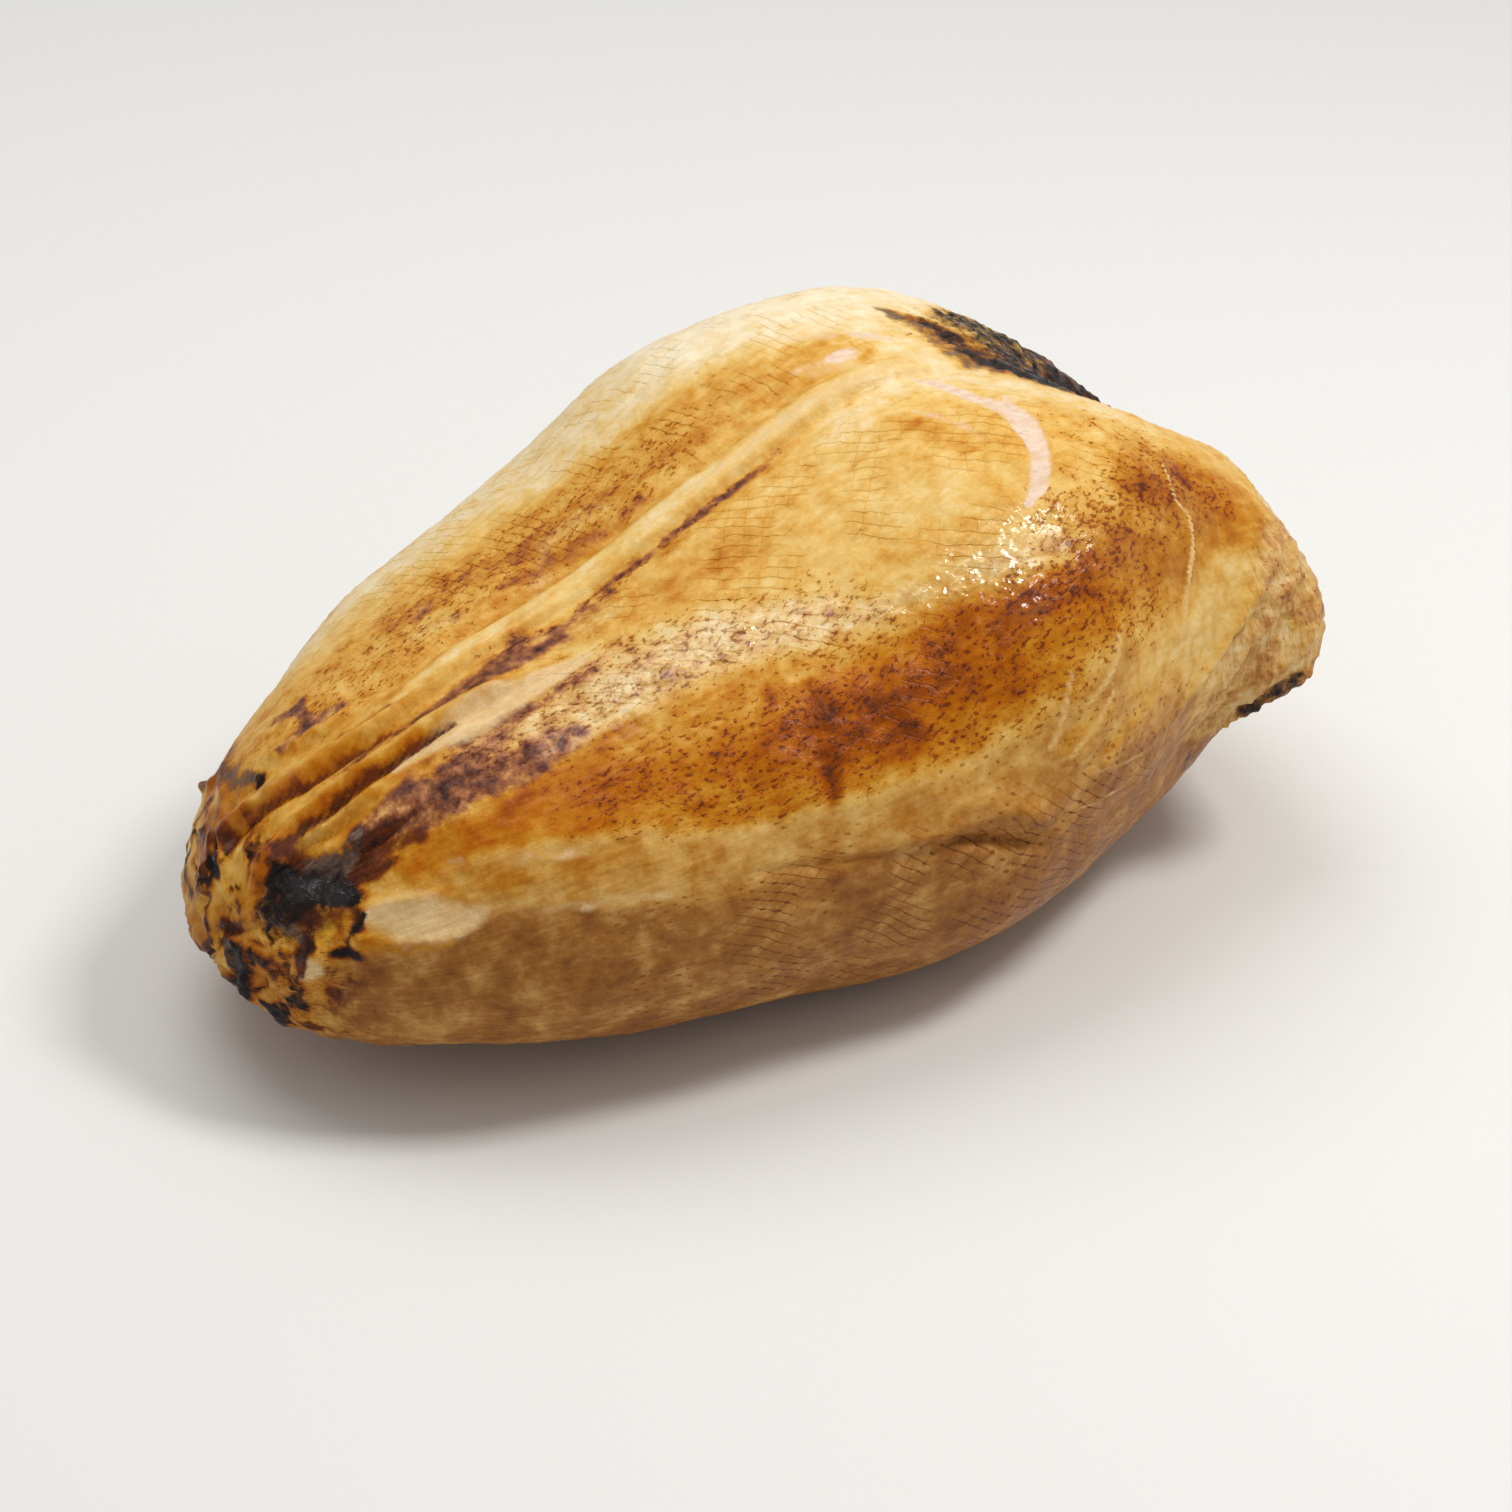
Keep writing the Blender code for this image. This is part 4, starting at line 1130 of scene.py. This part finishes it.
def roast_material():
    """Roast skin: its noises and marks, then colour, gloss and fine bumps."""
    s = Shader("roast_skin_detailed")
    place = s.place()
    skin_mm = s.attribute("skin_mm", vector=True)
    wet = s.attribute("wet")
    specks = s.attribute("specks")
    blotch = s.noise(place, 230.0, 4.0, 0.70)
    streaks = s.noise(s.stretch(skin_mm, (0.14, 0.50, 1.0)), 1.0, 3.0)
    dashes = s.noise(s.stretch(skin_mm, (0.55, 0.85, 1.0), 0.6), 1.0, 3.0)
    wrinkles = s.noise(s.stretch(skin_mm, (0.8, 0.13, 1.0)), 1.0, 3.0)
    wrinkles = s.math("MULTIPLY", wrinkles, s.attribute("fibre"))
    drops = s.math("MULTIPLY", s.noise(place, 330.0, 1.0), wet)
    lines, dots = skin_marks(s, s.attribute("net"), blotch)
    threshold = s.add(dashes, (blotch, 0.45), (specks, 0.20))
    scorched = s.math("MULTIPLY", s.step(threshold, 0.19, 0.33), s.step(specks, 0.02, 0.2))
    roast_colour(s, (blotch, streaks, wrinkles), scorched, lines, dots)
    roast_gloss(s, blotch, streaks, drops, wet)
    heights = s.add((blotch, 0.42), (streaks, 0.16), (drops, 0.8), (wrinkles, 1.1), (lines, -0.14),
                    (scorched, 0.10))
    s.put(s.surface.inputs["Normal"], s.bump(heights))
    return s.material


def skin_marks(s, net, blotch):
    """Thin broken creases between the skin's scales, and the follicles where they cross."""
    lattice = s.nodes.new("ShaderNodeSeparateXYZ")
    s.put(lattice.inputs[0], s.attribute("lattice", vector=True))
    away = []
    for axis in ("X", "Y"):
        counted = s.add(lattice.outputs[axis], (blotch, 0.55))
        middle = s.math("ABSOLUTE", s.math("SUBTRACT", s.math("FRACT", counted), 0.5))
        away.append(s.math("SUBTRACT", 0.5, middle))
    faint = s.add((s.step(away[1], 0.07, 0.02), 0.4))
    lines = s.math("MULTIPLY", s.math("MAXIMUM", s.step(away[0], 0.09, 0.02), faint), net)
    squares = [s.math("MULTIPLY", gap, gap) for gap in away]
    crossing = s.math("SQRT", s.add(*squares))
    size = s.add(crossing, (blotch, 0.55))
    dots = s.math("MULTIPLY", s.step(size, 0.19, 0.05), s.attribute("follicle"))
    return lines, dots


# ---------------------------------------------------------------- building
def store_mask(mesh, name, values):
    """Keep one value for each point on the mesh."""
    layer = mesh.attributes.new(name, "FLOAT", "POINT")
    layer.data.foreach_set("value", values.astype(np.float32))


def store_vector(mesh, name, values):
    """Keep one vector for each point on the mesh."""
    layer = mesh.attributes.new(name, "FLOAT_VECTOR", "POINT")
    layer.data.foreach_set("vector", values.astype(np.float32).ravel())


def make_crown():
    """The crown's skin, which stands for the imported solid."""
    skin = Skin()
    mask = {name: gather(skin, marks) for name, marks in OVERLAYS.items()}
    mask.update(brown_skin(skin))
    patchy = 1.2 * smooth(-0.35, 0.45, rough_noise(skin.plain, 18.0, 231, 3))
    mask["follicle"] *= patchy
    mask["net"] *= smooth(-0.25, 0.35, rough_noise(skin.plain, 13.0, 241, 3))
    scorch_tail(skin, mask)
    lattice = crease_lattice(skin)
    lay_skin(skin, mask, lattice)
    del mask["crack"]
    for name, values in mask.items():
        store_mask(skin.mesh, name, values)
    store_vector(skin.mesh, "lattice", lattice)
    level_mm = np.zeros(len(skin.along))
    store_vector(skin.mesh, "skin_mm", np.stack([skin.along, skin.around, level_mm], axis=1))
    skin.mesh.shade_smooth()
    crown = bpy.data.objects.new("crown_skin", skin.mesh)
    crown.data.materials.append(roast_material())
    bpy.context.scene.collection.objects.link(crown)
    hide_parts(NODE)
    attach(crown, "root")


# ---------------------------------------------------------------- stage, light and camera
AIM = (-0.012, -0.025, 0.048)
AZIMUTH = -36.0
ELEVATION = 30.0
DISTANCE = 1.0
LENS_MM = 105.7
SENSOR_MM = 36.0
FLOOR_SIZE = 6.0            # metres
SKY_STRENGTH = 0.42


def direction(azimuth, elevation):
    """The unit vector from the object towards a view or a lamp."""
    a = math.radians(azimuth)
    e = math.radians(elevation)
    return np.array([math.sin(a) * math.cos(e), -math.cos(a) * math.cos(e), math.sin(e)])


def aim_at(thing, place, target):
    """Put a camera or lamp in its place, looking at the target."""
    thing.location = place
    look = Vector(target) - Vector(place)
    thing.rotation_euler = look.to_track_quat("-Z", "Y").to_euler()


def make_camera():
    """A long lens from the tail end, above the right breast."""
    data = bpy.data.cameras.new("camera")
    data.lens = LENS_MM
    data.sensor_width = SENSOR_MM
    camera = bpy.data.objects.new("camera", data)
    bpy.context.scene.collection.objects.link(camera)
    aim_at(camera, tuple(np.array(AIM) + DISTANCE * direction(AZIMUTH, ELEVATION)), AIM)
    bpy.context.scene.camera = camera


def make_lamp(name, azimuth, elevation, distance, size, power, tint=(1.0, 1.0, 1.0)):
    """A square soft lamp aimed at the crown."""
    data = bpy.data.lights.new(name, "AREA")
    data.size = size
    data.energy = power
    data.color = tint
    lamp = bpy.data.objects.new(name, data)
    bpy.context.scene.collection.objects.link(lamp)
    aim_at(lamp, tuple(np.array(AIM) + distance * direction(azimuth, elevation)), AIM)


def make_stage():
    """A plain pale floor, soft lamps and an even sky."""
    bpy.ops.mesh.primitive_plane_add(size=FLOOR_SIZE, location=(0.0, 0.0, 0.0))
    floor = bpy.context.object
    floor.name = "floor"
    pale = bpy.data.materials.new("floor_pale")
    pale.use_nodes = True
    shader = pale.node_tree.nodes["Principled BSDF"]
    shader.inputs["Base Color"].default_value = (0.78, 0.77, 0.74, 1.0)
    shader.inputs["Roughness"].default_value = 0.7
    floor.data.materials.append(pale)
    make_lamp("overhead", 180.0, 66.0, 1.2, 0.9, 6.0)
    make_lamp("key", 52.0, 58.0, 1.1, 0.28, 6.5)
    make_lamp("fill", -80.0, 35.0, 1.4, 1.2, 0.8)
    world = bpy.data.worlds.new("sky")
    world.use_nodes = True
    world.node_tree.nodes["Background"].inputs["Color"].default_value = (1.0, 1.0, 1.0, 1.0)
    world.node_tree.nodes["Background"].inputs["Strength"].default_value = SKY_STRENGTH
    bpy.context.scene.world = world
    bpy.context.scene.view_settings.view_transform = "Standard"


make_camera()
make_crown()
make_stage()
